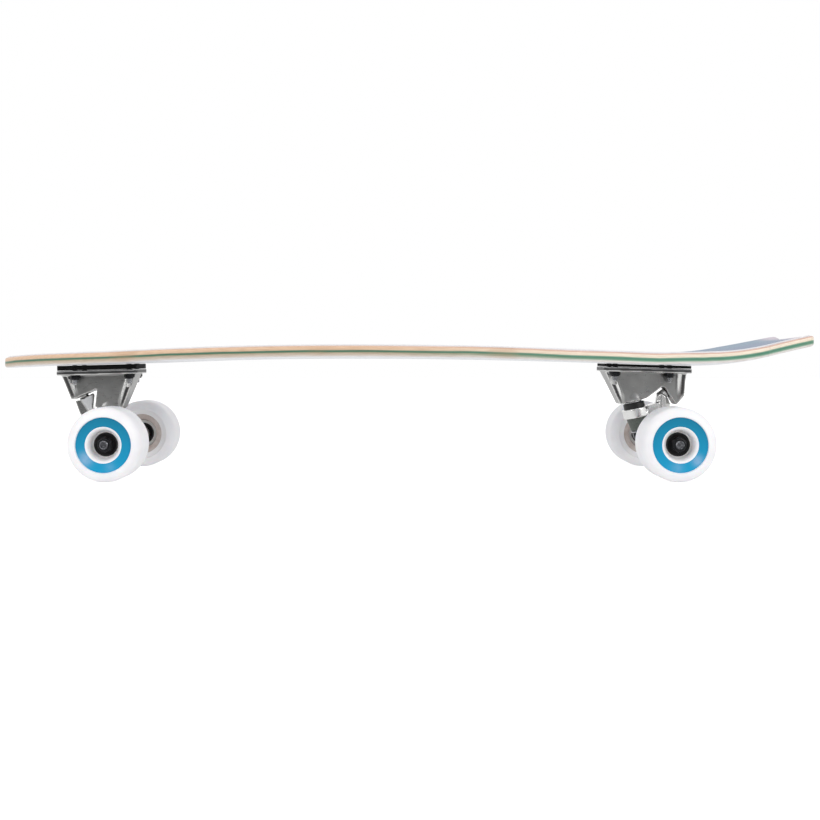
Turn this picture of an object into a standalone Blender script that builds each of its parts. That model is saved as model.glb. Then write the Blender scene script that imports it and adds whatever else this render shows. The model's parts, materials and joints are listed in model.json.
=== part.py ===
"""Surfskate: a kicktail deck on two unlike surf trucks with four soft wheels.

Metres, +Z up, ground at z = 0. The nose points to -X and the tail to +X. The origin is on the
ground under the middle of the deck's length. A truck is drawn in its own frame: x runs from its
axle toward the middle of the board, z up from the axle, and both trucks are set by that frame.
"""
from math import cos, pi, radians, sin, sqrt, tan
from types import SimpleNamespace

import bmesh
import bpy
from mathutils import Matrix, Vector

# Clearances
SEAT_GAP = 0.0003          # between two pieces that touch
BOLT_CLEARANCE = 0.0005    # round a bolt in its hole

# Deck
DECK_LENGTH = 0.796
DECK_WIDTH = 0.242
DECK_THICKNESS = 0.0103
DECK_EDGE_ROUND = 0.0028
NOSE_TO_WIDEST = 0.360
HIP_TO_TAIL = 0.0505        # where the side turns in toward the tips
HIP_WIDTH = 0.187
TAIL_WIDTH = 0.143         # where the side runs into the tips
TAIL_NOTCH = 0.012         # depth of the notch between the two tips
TIP_ROUND = 0.0045
TIP_SHARE = 0.9            # of the half width, where a tip's point lies
TAIL_BOW = 0.055           # the cross rows bow toward the tips over this length
NOSE_CAP = 0.33            # share of the width left where the nose's front curve starts
GRIP_THICKNESS = 0.0008
GRIP_INSET = 0.0004
BOLT_SINK = 0.0001         # bolt heads below the grip's face

# Deck lengthwise curve, as slopes in degrees, rising toward the tail
NOSE_SLOPE = 2.6
FRONT_SEAT_SLOPE = 1.5
FRONT_CAMBER_SLOPE = 2.4
REAR_CAMBER_SLOPE = -1.9
REAR_SEAT_SLOPE = -1.6
KICK_SLOPE = 12.25
NOSE_BEND = 0.020          # length over which the nose slope starts
CAMBER_BEND = 0.033        # length over which a truck seat runs into the camber
CAMBER_TOP = 0.3455        # from the nose to the highest point
KICK_BEND = 0.062
KICK_AFTER_BOLTS = 0.013   # from the rear bolts' last row to the start of the kick

# Rise of the deck's sides over its middle
CONCAVE_FLAT = 0.058       # width of the flat middle
CONCAVE_NOSE = 0.0002
CONCAVE_FRONT_SEAT = 0.0013
CONCAVE_MIDDLE = 0.0022
CONCAVE_REAR_SEAT = 0.0005
CONCAVE_KICK = 0.0027
CONCAVE_TAIL = 0.0015

# Wheels and axles
NOSE_TO_FRONT_AXLE = 0.1228
WHEELBASE = 0.534
WHEEL_RADIUS = 0.035
WHEEL_WIDTH = 0.051
WHEEL_CENTRE_Y = 0.0945
WHEEL_FACETS = 24
LIP_ROUND = 0.009
FACE_RECESS = 0.0018       # the printed face lies this far inside the lips
FACE_OUTER_RADIUS = 0.0262
FACE_INNER_RADIUS = 0.0167
CORE_RADIUS = 0.0142
CORE_SHOULDER_RADIUS = 0.0092

# Ball bearings, size 608
BEARING_RADIUS = 0.011
BEARING_WIDTH = 0.007
BEARING_GAP = 0.010        # between the two bearings of a wheel
INNER_RACE_RADIUS = 0.0057
SEAL_RADIUS = 0.0094
SEAL_RECESS = 0.0004
AXLE_RADIUS = 0.004
AXLE_END = 0.0025          # axle end past its nut
AXLE_NUT_FLATS = 0.0127
AXLE_NUT_HEIGHT = 0.0075
AXLE_WASHER_RADIUS = 0.0058
AXLE_WASHER_THICKNESS = 0.0009
SPACER_RADIUS = 0.0054

# Truck mounting pattern and hardware
BOLT_LENGTH_SPACING = 0.053975
BOLT_WIDTH_SPACING = 0.041275
BOLT_RADIUS = 0.0024
BOLT_HEAD_RADIUS = 0.0046
BOLT_HEAD_DEPTH = 0.0027
BOLT_TAIL = 0.0048         # bolt end past its nut
NUT_FLATS = 0.0092
NUT_HEIGHT = 0.0045
FLANGE_THICKNESS = 0.0045
FLANGE_WIDTH = 0.056
FLANGE_CORNER = 0.005
RISER_WIDTH = 0.057
RISER_CORNER = 0.0045
SPOT_FACE_RADIUS = 0.0064
SPOT_FACE_DEPTH = 0.013

# Kingpin stack, the same on both trucks
KINGPIN_RADIUS = 0.00475
KINGPIN_ABOVE_SEAT = 0.026 # from the bushing seat up to the head
KINGPIN_HEAD_HEIGHT = 0.006
KINGPIN_TAIL = 0.0028
KINGPIN_NUT_FLATS = 0.0143
KINGPIN_NUT_HEIGHT = 0.0075
KINGPIN_BOSS_RADIUS = 0.0125
RING_RADIUS = 0.013
RING_THICKNESS = 0.0095
RING_BORE_RADIUS = 0.0064
RING_UPPER_CUP = 0.003
RING_LOWER_CUP = 0.002
BUSHING_RADIUS = 0.0107
BUSHING_FOOT_RADIUS = 0.0083
LOWER_BUSHING_HEIGHT = 0.0148
BUSHING_WASHER_RADIUS = 0.0086
BUSHING_WASHER_THICKNESS = 0.0012

# Pivot
PIVOT_BALL_RADIUS = 0.0054
PIVOT_NECK_RADIUS = 0.0046
PIVOT_CUP_WALL = 0.0015
PIVOT_MOUTH = 0.0042       # from the ball's middle out to the cup's mouth
PIVOT_MOUTH_FLARE = 0.0006
PIVOT_STEM_LENGTH = 0.013
PIVOT_STEM_FLARE = 0.0016

# Hanger
HOUSING_RADIUS = 0.0105
HOUSING_END_RADIUS = 0.0084
HANGER_ARM_HALF_WIDTH = 0.0092
HANGER_NECK_HALF_WIDTH = 0.0074
WING_REACH = 0.058         # from the middle out to the ends of the wings
WING_THICKNESS = 0.009
WING_FOOT = 0.004          # below the axle
WING_END = 0.006           # above the axle, at the wings' ends
WING_MIDDLE = 0.012        # half the length of the level crest between the wings
HANGER_SQUARE = 0.00735    # half the thickness of neck and arm where they meet the axle housing
LEAN_ROOM = 0.0165         # half the width cut free for the kingpin nut at full lean
LEAN_RISE = 0.003          # and how far above the lower washer the cut starts

# Baseplate castings
WEB_HALF_WIDTH = 0.0115
LEG_THICKNESS = 0.007
LEG_TOP_HALF_WIDTH = 0.0185
LEG_FOOT_HALF_WIDTH = 0.0125
BOSS_DRAFT = 0.001
SEAT_STEP = 0.0006         # the web stays this far over the bushing seat

# Front truck, in its own frame
FRONT_HEIGHT = 0.06905     # axle to the baseplate's mounting face, at the bolts
FRONT_RISER_THICKNESS = 0.0051
FRONT_BOLTS_X = -0.02215
FRONT_FLANGE_OUT = 0.0446  # from the bolts' middle to the flange's outer end
FRONT_FLANGE_IN = 0.0360
FRONT_SEAT_X = -0.0205
FRONT_SEAT_Z = 0.0282
FRONT_KINGPIN_TILT = 14.0
FRONT_RING_DROP = 0.0100
FRONT_PIVOT_X = -0.0468
FRONT_PIVOT_Z = 0.0470
FRONT_STEM_ANGLE = 66.0    # of the pivot stem below level
FRONT_WING_CREST = 0.0115
FRONT_WING_X = -0.002

# Rear truck, in its own frame
REAR_RISER_THICKNESS = 0.0030
REAR_BOLTS_X = 0.0178
REAR_FLANGE_OUT = 0.0486
REAR_FLANGE_IN = 0.0391
REAR_SEAT_X = 0.0237
REAR_SEAT_Z = 0.03733
REAR_KINGPIN_TILT = 12.4
REAR_RING_DROP = 0.0121
REAR_PIVOT_X = -0.0126
REAR_PIVOT_Z = 0.0488
REAR_STEM_ANGLE = 37.0
REAR_WING_CREST = 0.024
REAR_WING_X = -0.0045

# Points this near each other after a cut become one
MERGE_DISTANCE = 0.00002

# Fineness of the round pieces
FINE = 24
MEDIUM = 16
COARSE = 12
CUP_STEPS = 4              # in the quarter circle of the pivot cup's section

# Longest spacing of the deck's cross rows
CURVED_ROW = 0.014
SEAT_ROW = 0.050
CAMBER_ROW = 0.036
ROW_SHARES = (0.0, 0.25, 0.5, 0.74, TIP_SHARE, 1.0)

# How far cutters run past what they cut
CUT_PAST = 0.010
CUT_FAR = 0.080

# Colour, roughness and metallic value of each material
LOOKS = {
    "maple_laminate": ((0.72, 0.55, 0.38), 0.55, 0.0),
    "grip_film": ((0.42, 0.45, 0.53), 0.85, 0.0),
    "black_rubber": ((0.015, 0.015, 0.016), 0.75, 0.0),
    "cast_aluminium": ((0.42, 0.42, 0.44), 0.38, 1.0),
    "polished_aluminium": ((0.72, 0.72, 0.73), 0.18, 1.0),
    "bright_steel": ((0.62, 0.62, 0.63), 0.25, 1.0),
    "black_steel": ((0.03, 0.03, 0.032), 0.45, 0.8),
    "black_urethane": ((0.02, 0.02, 0.02), 0.5, 0.0),
    "grey_urethane": ((0.12, 0.13, 0.13), 0.5, 0.0),
    "white_urethane": ((0.86, 0.86, 0.87), 0.4, 0.0),
    "core_plastic": ((0.74, 0.73, 0.70), 0.45, 0.0),
    "sealed_bearing": ((0.02, 0.02, 0.021), 0.4, 0.5),
}


# Places along the deck
NOSE_X = -DECK_LENGTH / 2
FRONT_AXLE_X = NOSE_X + NOSE_TO_FRONT_AXLE
REAR_AXLE_X = FRONT_AXLE_X + WHEELBASE


def clear_scene():
    """Remove what the scene holds."""
    for obj in list(bpy.data.objects):
        bpy.data.objects.remove(obj, do_unlink=True)


def look(name):
    """The Principled material of one finish, made once."""
    material = bpy.data.materials.get(name)
    if material:
        return material
    colour, roughness, metallic = LOOKS[name]
    material = bpy.data.materials.new(name)
    material.use_nodes = True
    shader = material.node_tree.nodes["Principled BSDF"]
    shader.inputs["Base Color"].default_value = (*colour, 1.0)
    shader.inputs["Roughness"].default_value = roughness
    shader.inputs["Metallic"].default_value = metallic
    return material


def solid(name, bm):
    """An object from a bmesh, with its faces pointing out."""
    bmesh.ops.remove_doubles(bm, verts=bm.verts, dist=1e-6)
    bmesh.ops.recalc_face_normals(bm, faces=bm.faces)
    mesh = bpy.data.meshes.new(name)
    bm.to_mesh(mesh)
    bm.free()
    obj = bpy.data.objects.new(name, mesh)
    bpy.context.scene.collection.objects.link(obj)
    return obj


def axis_frame(origin, direction):
    """A matrix whose Z runs along direction and whose Y stays across the board."""
    z_axis = Vector(direction).normalized()
    side = Vector((0, 1, 0)) if abs(z_axis.y) < 0.9 else Vector((0, 0, 1))
    x_axis = side.cross(z_axis).normalized()
    y_axis = z_axis.cross(x_axis)
    turn = Matrix((x_axis, y_axis, z_axis)).transposed().to_4x4()
    return Matrix.Translation(origin) @ turn


def turned(name, profile, steps, frame, start=0.0):
    """A turned solid from (radius, height) points about the frame's Z."""
    bm = bmesh.new()
    points = [Vector((r * cos(start), r * sin(start), h)) for r, h in profile]
    verts = [bm.verts.new(p) for p in points]
    on_axis = profile[0][0] < 1e-9 and profile[-1][0] < 1e-9
    pairs = list(zip(verts, verts[1:]))
    if not on_axis:
        pairs.append((verts[-1], verts[0]))
    edges = [bm.edges.new(pair) for pair in pairs]
    bmesh.ops.spin(bm, geom=verts + edges, cent=(0, 0, 0), axis=(0, 0, 1), angle=2 * pi,
                   steps=steps, use_merge=True)
    bm.transform(frame)
    return solid(name, bm)


def rod(name, start, end, start_radius, end_radius, steps):
    """A straight or tapered round bar between two points."""
    along = Vector(end) - Vector(start)
    profile = [(0, 0), (start_radius, 0), (end_radius, along.length), (0, along.length)]
    return turned(name, profile, steps, axis_frame(start, along))


def prism(name, outline, low, high, frame=Matrix()):
    """A flat outline of (x, y) points, raised from low to high along the frame's Z."""
    bm = bmesh.new()
    bottom = [bm.verts.new((x, y, low)) for x, y in outline]
    top = [bm.verts.new((x, y, high)) for x, y in outline]
    bm.faces.new(bottom)
    bm.faces.new(top)
    count = len(outline)
    for i in range(count):
        j = (i + 1) % count
        bm.faces.new((bottom[i], bottom[j], top[j], top[i]))
    bm.transform(frame)
    return solid(name, bm)


def side_plate(name, outline, half_width):
    """An outline of (x, z) points in the side view, as thick as twice half_width."""
    frame = Matrix.Rotation(pi / 2, 4, "X")
    return prism(name, outline, -half_width, half_width, frame)


def rounded_outline(x_low, x_high, half_width, corner, steps=4):
    """A plan outline with round corners."""
    outline = []
    centres = ((x_high - corner, half_width - corner), (x_low + corner, half_width - corner),
               (x_low + corner, corner - half_width), (x_high - corner, corner - half_width))
    for quarter, (cx, cy) in enumerate(centres):
        for i in range(steps + 1):
            angle = pi / 2 * (quarter + i / steps)
            outline.append((cx + corner * cos(angle), cy + corner * sin(angle)))
    return outline


def hexagon(flats, turn=0.0):
    """A hexagon outline, measured over its flats."""
    radius = flats / 2 / cos(pi / 6)
    return [(radius * cos(turn + i * pi / 3), radius * sin(turn + i * pi / 3)) for i in range(6)]


def boolean(obj, operation, tools):
    """Join tools to obj, or cut them out of it, in one step, and drop the tools."""
    group = bpy.data.collections.new("tools")
    for tool in tools:
        group.objects.link(tool)
    modifier = obj.modifiers.new(operation.lower(), "BOOLEAN")
    modifier.operation = operation
    modifier.solver = "EXACT"
    modifier.operand_type = "COLLECTION"
    modifier.collection = group
    bpy.context.view_layer.update()
    baked = bpy.data.meshes.new_from_object(obj.evaluated_get(bpy.context.evaluated_depsgraph_get()))
    obj.modifiers.clear()
    old = obj.data
    bm = bmesh.new()
    bm.from_mesh(baked)
    bmesh.ops.remove_doubles(bm, verts=bm.verts, dist=MERGE_DISTANCE)
    bmesh.ops.dissolve_degenerate(bm, edges=bm.edges, dist=MERGE_DISTANCE)
    bm.to_mesh(baked)
    bm.free()
    obj.data = baked
    bpy.data.meshes.remove(old)
    bpy.data.collections.remove(group)
    for tool in tools:
        bpy.data.objects.remove(tool, do_unlink=True)
    return obj


def union(obj, *tools):
    return boolean(obj, "UNION", tools)


def cut(obj, *tools):
    return boolean(obj, "DIFFERENCE", tools)


def finish(obj, name, finish_name, origin, carrier=None, flat=False):
    """Name a piece, give it its finish and put its origin on the joint that carries it."""
    obj.name = name
    obj.data.name = name
    obj.data.materials.clear()
    obj.data.materials.append(look(finish_name))
    obj.data.transform(Matrix.Translation(-Vector(origin)))
    obj.location = origin
    if not flat:
        obj.data.shade_smooth()
        obj.data.set_sharp_from_angle(angle=radians(32))
    if carrier:
        bpy.context.view_layer.update()
        obj.parent = carrier
        obj.matrix_parent_inverse = carrier.matrix_world.inverted()
    return obj


def joint_point(name, place, carrier=None):
    """An empty on a joint, which carries the pieces that turn about it."""
    empty = bpy.data.objects.new(name, None)
    empty.empty_display_size = 0.02
    bpy.context.scene.collection.objects.link(empty)
    empty.location = place
    bpy.context.view_layer.update()
    if carrier:
        empty.parent = carrier
        empty.matrix_parent_inverse = carrier.matrix_world.inverted()
        bpy.context.view_layer.update()
    return empty


# Deck

def run_length(points, x):
    """The value at x on straight runs between (x, value) points."""
    for (x0, v0), (x1, v1) in zip(points, points[1:]):
        if x <= x1:
            return v0 + (v1 - v0) * (x - x0) / (x1 - x0)
    return points[-1][1]


def bolt_rows(bolts_x):
    """The two places along the board of a truck's bolts, given their middle."""
    return bolts_x - BOLT_LENGTH_SPACING / 2, bolts_x + BOLT_LENGTH_SPACING / 2


HIP_X = -NOSE_X - HIP_TO_TAIL
TAIL_SIDE_X = -NOSE_X - TIP_ROUND
FRONT_BOLTS = FRONT_AXLE_X + FRONT_BOLTS_X
REAR_BOLTS = REAR_AXLE_X - REAR_BOLTS_X
FRONT_SEAT_START = FRONT_BOLTS - FRONT_FLANGE_OUT - 0.003
FRONT_SEAT_END = FRONT_BOLTS + FRONT_FLANGE_IN + 0.001
REAR_SEAT_START = REAR_BOLTS - REAR_FLANGE_IN - 0.003
KICK_START = bolt_rows(REAR_BOLTS)[1] + KICK_AFTER_BOLTS
KICK_END = KICK_START + KICK_BEND

# Slope of the deck as a rise per length, at the places where it changes
SLOPES = [(x, tan(radians(angle))) for x, angle in (
    (NOSE_X, NOSE_SLOPE),
    (FRONT_SEAT_START - NOSE_BEND, NOSE_SLOPE),
    (FRONT_SEAT_START, FRONT_SEAT_SLOPE),
    (FRONT_SEAT_END, FRONT_SEAT_SLOPE),
    (FRONT_SEAT_END + CAMBER_BEND, FRONT_CAMBER_SLOPE),
    (NOSE_X + CAMBER_TOP, 0.0),
    (REAR_SEAT_START - CAMBER_BEND / 2, REAR_CAMBER_SLOPE),
    (REAR_SEAT_START, REAR_SEAT_SLOPE),
    (KICK_START, REAR_SEAT_SLOPE),
    (KICK_END, KICK_SLOPE),
    (-NOSE_X, KICK_SLOPE),
)]

CONCAVE = (
    (NOSE_X, CONCAVE_NOSE),
    (FRONT_BOLTS, CONCAVE_FRONT_SEAT),
    (FRONT_SEAT_END + CAMBER_BEND, CONCAVE_MIDDLE),
    (REAR_SEAT_START - 4 * CAMBER_BEND, CONCAVE_MIDDLE),
    (REAR_BOLTS, CONCAVE_REAR_SEAT),
    (KICK_START + KICK_BEND / 6, CONCAVE_KICK),
    (-NOSE_X, CONCAVE_TAIL),
)


def climb(x):
    """Height gained along the deck from its nose to x."""
    height = 0.0
    for (x0, g0), (x1, g1) in zip(SLOPES, SLOPES[1:]):
        run = min(x, x1) - x0
        if run <= 0:
            break
        height += g0 * run + (g1 - g0) * run * run / (2 * (x1 - x0))
    return height


# The front truck carries the deck, and the rear truck's height follows from the deck
DECK_DATUM = WHEEL_RADIUS + FRONT_HEIGHT + FRONT_RISER_THICKNESS - climb(FRONT_BOLTS)
REAR_HEIGHT = DECK_DATUM + climb(REAR_BOLTS) - REAR_RISER_THICKNESS - WHEEL_RADIUS


def half_width(x):
    """Half the deck's width at x, from an ellipse ahead and a fuller curve behind."""
    widest = NOSE_X + NOSE_TO_WIDEST
    full = DECK_WIDTH / 2
    if x < widest:
        return full * sqrt(max(0.0, 1 - ((widest - x) / NOSE_TO_WIDEST) ** 2))
    share = (x - widest) / (HIP_X - widest)
    side = full - (full - HIP_WIDTH / 2) * share ** 2.2
    if x > HIP_X:
        run = min(1.0, (x - HIP_X) / (TAIL_SIDE_X - HIP_X))
        side -= (side - TAIL_WIDTH / 2) * run ** 0.8
    return side


def underside(x, y):
    """Height of the deck's underside."""
    flat = CONCAVE_FLAT / 2
    share = max(0.0, abs(y) - flat) / max(flat / 3, half_width(x) - flat)
    return DECK_DATUM + climb(x) + run_length(CONCAVE, x) * min(1.2, share) ** 2


def topside(x, y):
    """Height of the deck's top, square to its slope."""
    return underside(x, y) + DECK_THICKNESS * sqrt(1 + run_length(SLOPES, x) ** 2)


def spread(start, end, longest):
    """Even places from start up to, and without, end."""
    count = max(1, round((end - start) / longest + 0.4))
    return [start + (end - start) * i / count for i in range(count)]


def nose_split():
    """Where the side of the nose ends and its front curve starts."""
    return NOSE_X + NOSE_TO_WIDEST * (1 - sqrt(1 - NOSE_CAP ** 2))


def deck_rows():
    """Places along the side of the deck for its cross rows."""
    starts = sorted(((nose_split(), CURVED_ROW), (FRONT_SEAT_START, SEAT_ROW), (FRONT_SEAT_END, CAMBER_ROW),
                     (REAR_SEAT_START, SEAT_ROW), (KICK_START, CURVED_ROW), (HIP_X, CURVED_ROW)))
    starts = [(x, longest) for x, longest in starts if x < TAIL_SIDE_X - TIP_ROUND]
    ends = [x for x, longest in starts[1:]] + [TAIL_SIDE_X]
    rows = []
    for (start, longest), end in zip(starts, ends):
        rows += spread(start, end, longest)
    return rows + [TAIL_SIDE_X]


def row_shift(x, share):
    """How far a cross row runs ahead or behind its side end, at a share of its half width."""
    split = nose_split()
    nose_reach = 5 * (split - NOSE_X)
    shift = 0.0
    if x < split + nose_reach:
        fade = 1 - (x - split) / nose_reach
        arc = (1 - sqrt(1 - (NOSE_CAP * share) ** 2)) / (1 - sqrt(1 - NOSE_CAP ** 2))
        shift -= (split - NOSE_X) * (1 - arc) * fade ** 1.5
    if x > TAIL_SIDE_X - TAIL_BOW:
        fade = 1 - (TAIL_SIDE_X - x) / TAIL_BOW
        if share < TIP_SHARE:
            reach = TIP_ROUND - TAIL_NOTCH * (1 - share / TIP_SHARE) ** 1.3
        else:
            reach = TIP_ROUND * (1 - ((share - TIP_SHARE) / (1 - TIP_SHARE)) ** 2)
        shift += reach * fade ** 1.5
    return shift


def plan_grid(inset):
    """Rows of (x, y) places over the deck's plan, inset from its edge."""
    across = [-s for s in reversed(ROW_SHARES[1:])] + list(ROW_SHARES)
    middle_scale = 1 - inset / (DECK_LENGTH / 2)
    grid = []
    for x in deck_rows():
        width = half_width(x) - inset
        grid.append([((x + row_shift(x, abs(s))) * middle_scale, s * width) for s in across])
    return grid


def skin_slab(name, low, high, inset=0.0, edge_round=0.0):
    """A closed slab between two height functions over the deck's plan, with a rounded edge."""
    bm = bmesh.new()
    grid = plan_grid(inset + edge_round)
    rows, columns = len(grid), len(grid[0])
    layers = []
    for height in (low, high):
        layer = [[bm.verts.new((x, y, height(x, y))) for x, y in row] for row in grid]
        for i in range(rows - 1):
            for j in range(columns - 1):
                bm.faces.new((layer[i][j], layer[i + 1][j], layer[i + 1][j + 1], layer[i][j + 1]))
        layers.append(layer)
    rim = [(0, j) for j in range(columns)] + [(i, columns - 1) for i in range(1, rows)]
    rim += [(rows - 1, j) for j in range(columns - 2, -1, -1)] + [(i, 0) for i in range(rows - 2, 0, -1)]
    corner = 1 - sqrt(0.5)
    steps = [(corner, low, corner), (0, low, 1), (0, high, -1), (corner, high, -corner)]
    loops = [[layers[0][i][j] for i, j in rim]]
    for back, height, rise in steps if edge_round else []:
        plan = plan_grid(inset + back * edge_round)
        places = [plan[i][j] for i, j in rim]
        loops.append([bm.verts.new((x, y, height(x, y) + rise * edge_round)) for x, y in places])
    loops.append([layers[1][i][j] for i, j in rim])
    for lower, upper in zip(loops, loops[1:]):
        for i in range(len(rim)):
            j = (i + 1) % len(rim)
            bm.faces.new((lower[i], lower[j], upper[j], upper[i]))
    return solid(name, bm)


def seat_frame(truck):
    """Frame on a truck's bolt pattern: Z square to the deck, X toward the board's middle."""
    x, z = truck.bolts_x, truck.height + truck.riser
    tilt = Matrix.Rotation(-truck.tilt, 4, "Y")
    return Matrix.Translation((x, 0, z)) @ tilt


def bolt_places():
    """The four (x, y) bolt places of one truck, in its seat frame."""
    x, y = BOLT_LENGTH_SPACING / 2, BOLT_WIDTH_SPACING / 2
    return [(-x, -y), (x, -y), (x, y), (-x, y)]


def bolt_profile(length, play=0.0):
    """A countersunk bolt, from its end up to its head, or the room for one."""
    shank, head = BOLT_RADIUS + play, BOLT_HEAD_RADIUS + play
    profile = [(0, -length), (shank, -length), (shank, -BOLT_HEAD_DEPTH), (head, 0)]
    if play:
        profile.append((head, BOLT_HEAD_DEPTH))
    return profile + [(0, profile[-1][1])]


def bolt_top():
    """Height of the bolt heads over the deck's underside."""
    return DECK_THICKNESS + SEAT_GAP + GRIP_THICKNESS - BOLT_SINK


def bolt_room(truck):
    """Cutters for the four bolts of a truck."""
    cutters = []
    for x, y in bolt_places():
        frame = truck.place @ seat_frame(truck) @ Matrix.Translation((x, y, bolt_top()))
        cutters.append(turned("bolt_room", bolt_profile(CUT_FAR, BOLT_CLEARANCE), COARSE, frame))
    return cutters


def film_foot(x, y):
    """Underside of the film on the deck's top."""
    return topside(x, y) + SEAT_GAP


def film_face(x, y):
    """Top of the film."""
    return film_foot(x, y) + GRIP_THICKNESS


def make_deck(trucks):
    """The laminated deck and the thin film that covers its top."""
    deck = skin_slab("deck", underside, topside, 0.0, DECK_EDGE_ROUND)
    film = skin_slab("grip_sheet", film_foot, film_face, DECK_EDGE_ROUND + GRIP_INSET)
    for truck in trucks:
        cut(deck, *bolt_room(truck))
        cut(film, *bolt_room(truck))
    finish(deck, "deck", "maple_laminate", (0, 0, DECK_DATUM))
    finish(film, "grip_sheet", "grip_film", (0, 0, DECK_DATUM))


# Trucks

def bore(radius, steps):
    """Corner radius of a faceted hole that clears a round piece of this radius."""
    return (radius + SEAT_GAP) / cos(pi / steps)


def truck_spec(name):
    """One truck's sizes and directions, in its own frame."""
    front = name == "front"
    truck = SimpleNamespace(name=name, front=front)
    truck.height = FRONT_HEIGHT if front else REAR_HEIGHT
    truck.riser = FRONT_RISER_THICKNESS if front else REAR_RISER_THICKNESS
    truck.tilt = radians(FRONT_SEAT_SLOPE if front else -REAR_SEAT_SLOPE)
    truck.bolts_x = FRONT_BOLTS_X if front else REAR_BOLTS_X
    truck.flange_low = truck.bolts_x - (FRONT_FLANGE_OUT if front else REAR_FLANGE_OUT)
    truck.flange_high = truck.bolts_x + (FRONT_FLANGE_IN if front else REAR_FLANGE_IN)
    seat = (FRONT_SEAT_X, 0, FRONT_SEAT_Z) if front else (REAR_SEAT_X, 0, REAR_SEAT_Z)
    truck.seat = Vector(seat)
    pivot = (FRONT_PIVOT_X, 0, FRONT_PIVOT_Z) if front else (REAR_PIVOT_X, 0, REAR_PIVOT_Z)
    truck.pivot = Vector(pivot)
    lean = radians(FRONT_KINGPIN_TILT if front else REAR_KINGPIN_TILT)
    truck.down = Vector((-sin(lean), 0, -cos(lean)))
    truck.inboard = Vector((cos(lean), 0, -sin(lean)))
    truck.ring_drop = FRONT_RING_DROP if front else REAR_RING_DROP
    truck.ring = truck.seat + truck.down * truck.ring_drop
    stem = radians(FRONT_STEM_ANGLE if front else REAR_STEM_ANGLE)
    truck.stem = Vector((cos(stem), 0, -sin(stem)))
    truck.kingpin_frame = axis_frame(truck.seat, truck.down)
    turn = Matrix() if front else Matrix.Rotation(pi, 4, "Z")
    axle = (FRONT_AXLE_X if front else REAR_AXLE_X, 0, WHEEL_RADIUS)
    truck.place = Matrix.Translation(axle) @ turn
    return truck


def stack(truck):
    """Heights down the kingpin from its seat, where each piece of the stack starts and ends."""
    heights = SimpleNamespace()
    heights.ring_top = truck.ring_drop - RING_THICKNESS / 2
    heights.ring_foot = truck.ring_drop + RING_THICKNESS / 2
    heights.upper_floor = heights.ring_top + RING_UPPER_CUP
    heights.lower_floor = heights.ring_foot - RING_LOWER_CUP
    heights.upper_washer = (SEAT_GAP, SEAT_GAP + BUSHING_WASHER_THICKNESS)
    heights.upper_bushing = (heights.upper_washer[1] + SEAT_GAP, heights.upper_floor - SEAT_GAP)
    top = heights.lower_floor + SEAT_GAP
    heights.lower_bushing = (top, top + LOWER_BUSHING_HEIGHT)
    top = heights.lower_bushing[1] + SEAT_GAP
    heights.lower_washer = (top, top + BUSHING_WASHER_THICKNESS)
    top = heights.lower_washer[1] + SEAT_GAP
    heights.nut = (top, top + KINGPIN_NUT_HEIGHT)
    heights.end = heights.nut[1] + KINGPIN_TAIL
    return heights


def under_flange(truck, x):
    """Height of the flange's underside at x."""
    return truck.height - SEAT_GAP - FLANGE_THICKNESS + tan(truck.tilt) * (x - truck.bolts_x)


def root(truck, x):
    """A point just inside the flange, where a web or leg grows from."""
    return x, under_flange(truck, x) + FLANGE_THICKNESS / 3


def near(point, dx, dz):
    """A side-view point set off from another."""
    return point.x + dx, point.z + dz


def front_base_outlines(truck):
    """Side views of the front casting's web and its outer and inner leg."""
    outer, inner = truck.flange_low + 0.0027, truck.flange_high - 0.0022
    lobe = near(truck.pivot, -0.0078, -0.0082)
    notch = near(truck.pivot, 0.0162, 0.0022)
    raised = truck.seat - truck.down * SEAT_STEP
    boss_out = near(raised - truck.inboard * 0.0112, 0, 0)
    boss_in = near(raised + truck.inboard * 0.0112, 0, 0)
    heel = near(truck.seat, 0.0172, 0.0026)
    web = [root(truck, outer + 0.001), (lobe[0] + 0.001, lobe[1] + 0.0005), notch, boss_out,
           boss_in, heel, root(truck, inner - 0.001)]
    outer_leg = [root(truck, outer), lobe, (lobe[0] + LEG_THICKNESS, lobe[1] + 0.0026),
                 root(truck, outer + LEG_THICKNESS)]
    inner_leg = [root(truck, inner - LEG_THICKNESS), (heel[0] - LEG_THICKNESS, heel[1] + 0.001),
                 heel, root(truck, inner)]
    return web, outer_leg, inner_leg


def rear_base_outlines(truck):
    """Side views of the rear casting's web and its outer and inner leg."""
    outer, inner = truck.flange_low + 0.0041, truck.flange_high - 0.0009
    raised = truck.seat - truck.down * SEAT_STEP
    boss_in = near(raised + truck.inboard * 0.0122, 0, 0)
    boss_out = near(raised - truck.inboard * 0.0125, 0, 0)
    foot = near(truck.seat, 0.0153, -0.0031)
    notch = near(truck.pivot, 0.0079, 0.0025)
    tip = near(truck.pivot, -0.0053, -0.0152)
    heel = near(truck.pivot, -0.0131, -0.0061)
    web = [root(truck, inner - 0.001), foot, boss_in, boss_out, notch, tip, heel,
           root(truck, outer + 0.001)]
    inner_leg = [root(truck, inner), foot, (foot[0] - LEG_THICKNESS, foot[1] + 0.001),
                 root(truck, inner - LEG_THICKNESS)]
    outer_leg = [root(truck, outer), heel, (heel[0] + LEG_THICKNESS, heel[1] - 0.004),
                 root(truck, outer + LEG_THICKNESS)]
    return web, outer_leg, inner_leg


def leg(name, outline):
    """An end wall of the casting, wide at the flange and narrow at its foot."""
    obj = side_plate(name, outline, LEG_TOP_HALF_WIDTH)
    heights = [z for x, z in outline]
    low, high = min(heights), max(heights)
    for vert in obj.data.vertices:
        share = (vert.co.z - low) / (high - low)
        width = LEG_FOOT_HALF_WIDTH + (LEG_TOP_HALF_WIDTH - LEG_FOOT_HALF_WIDTH) * share
        vert.co.y *= width / LEG_TOP_HALF_WIDTH
    return obj


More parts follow.
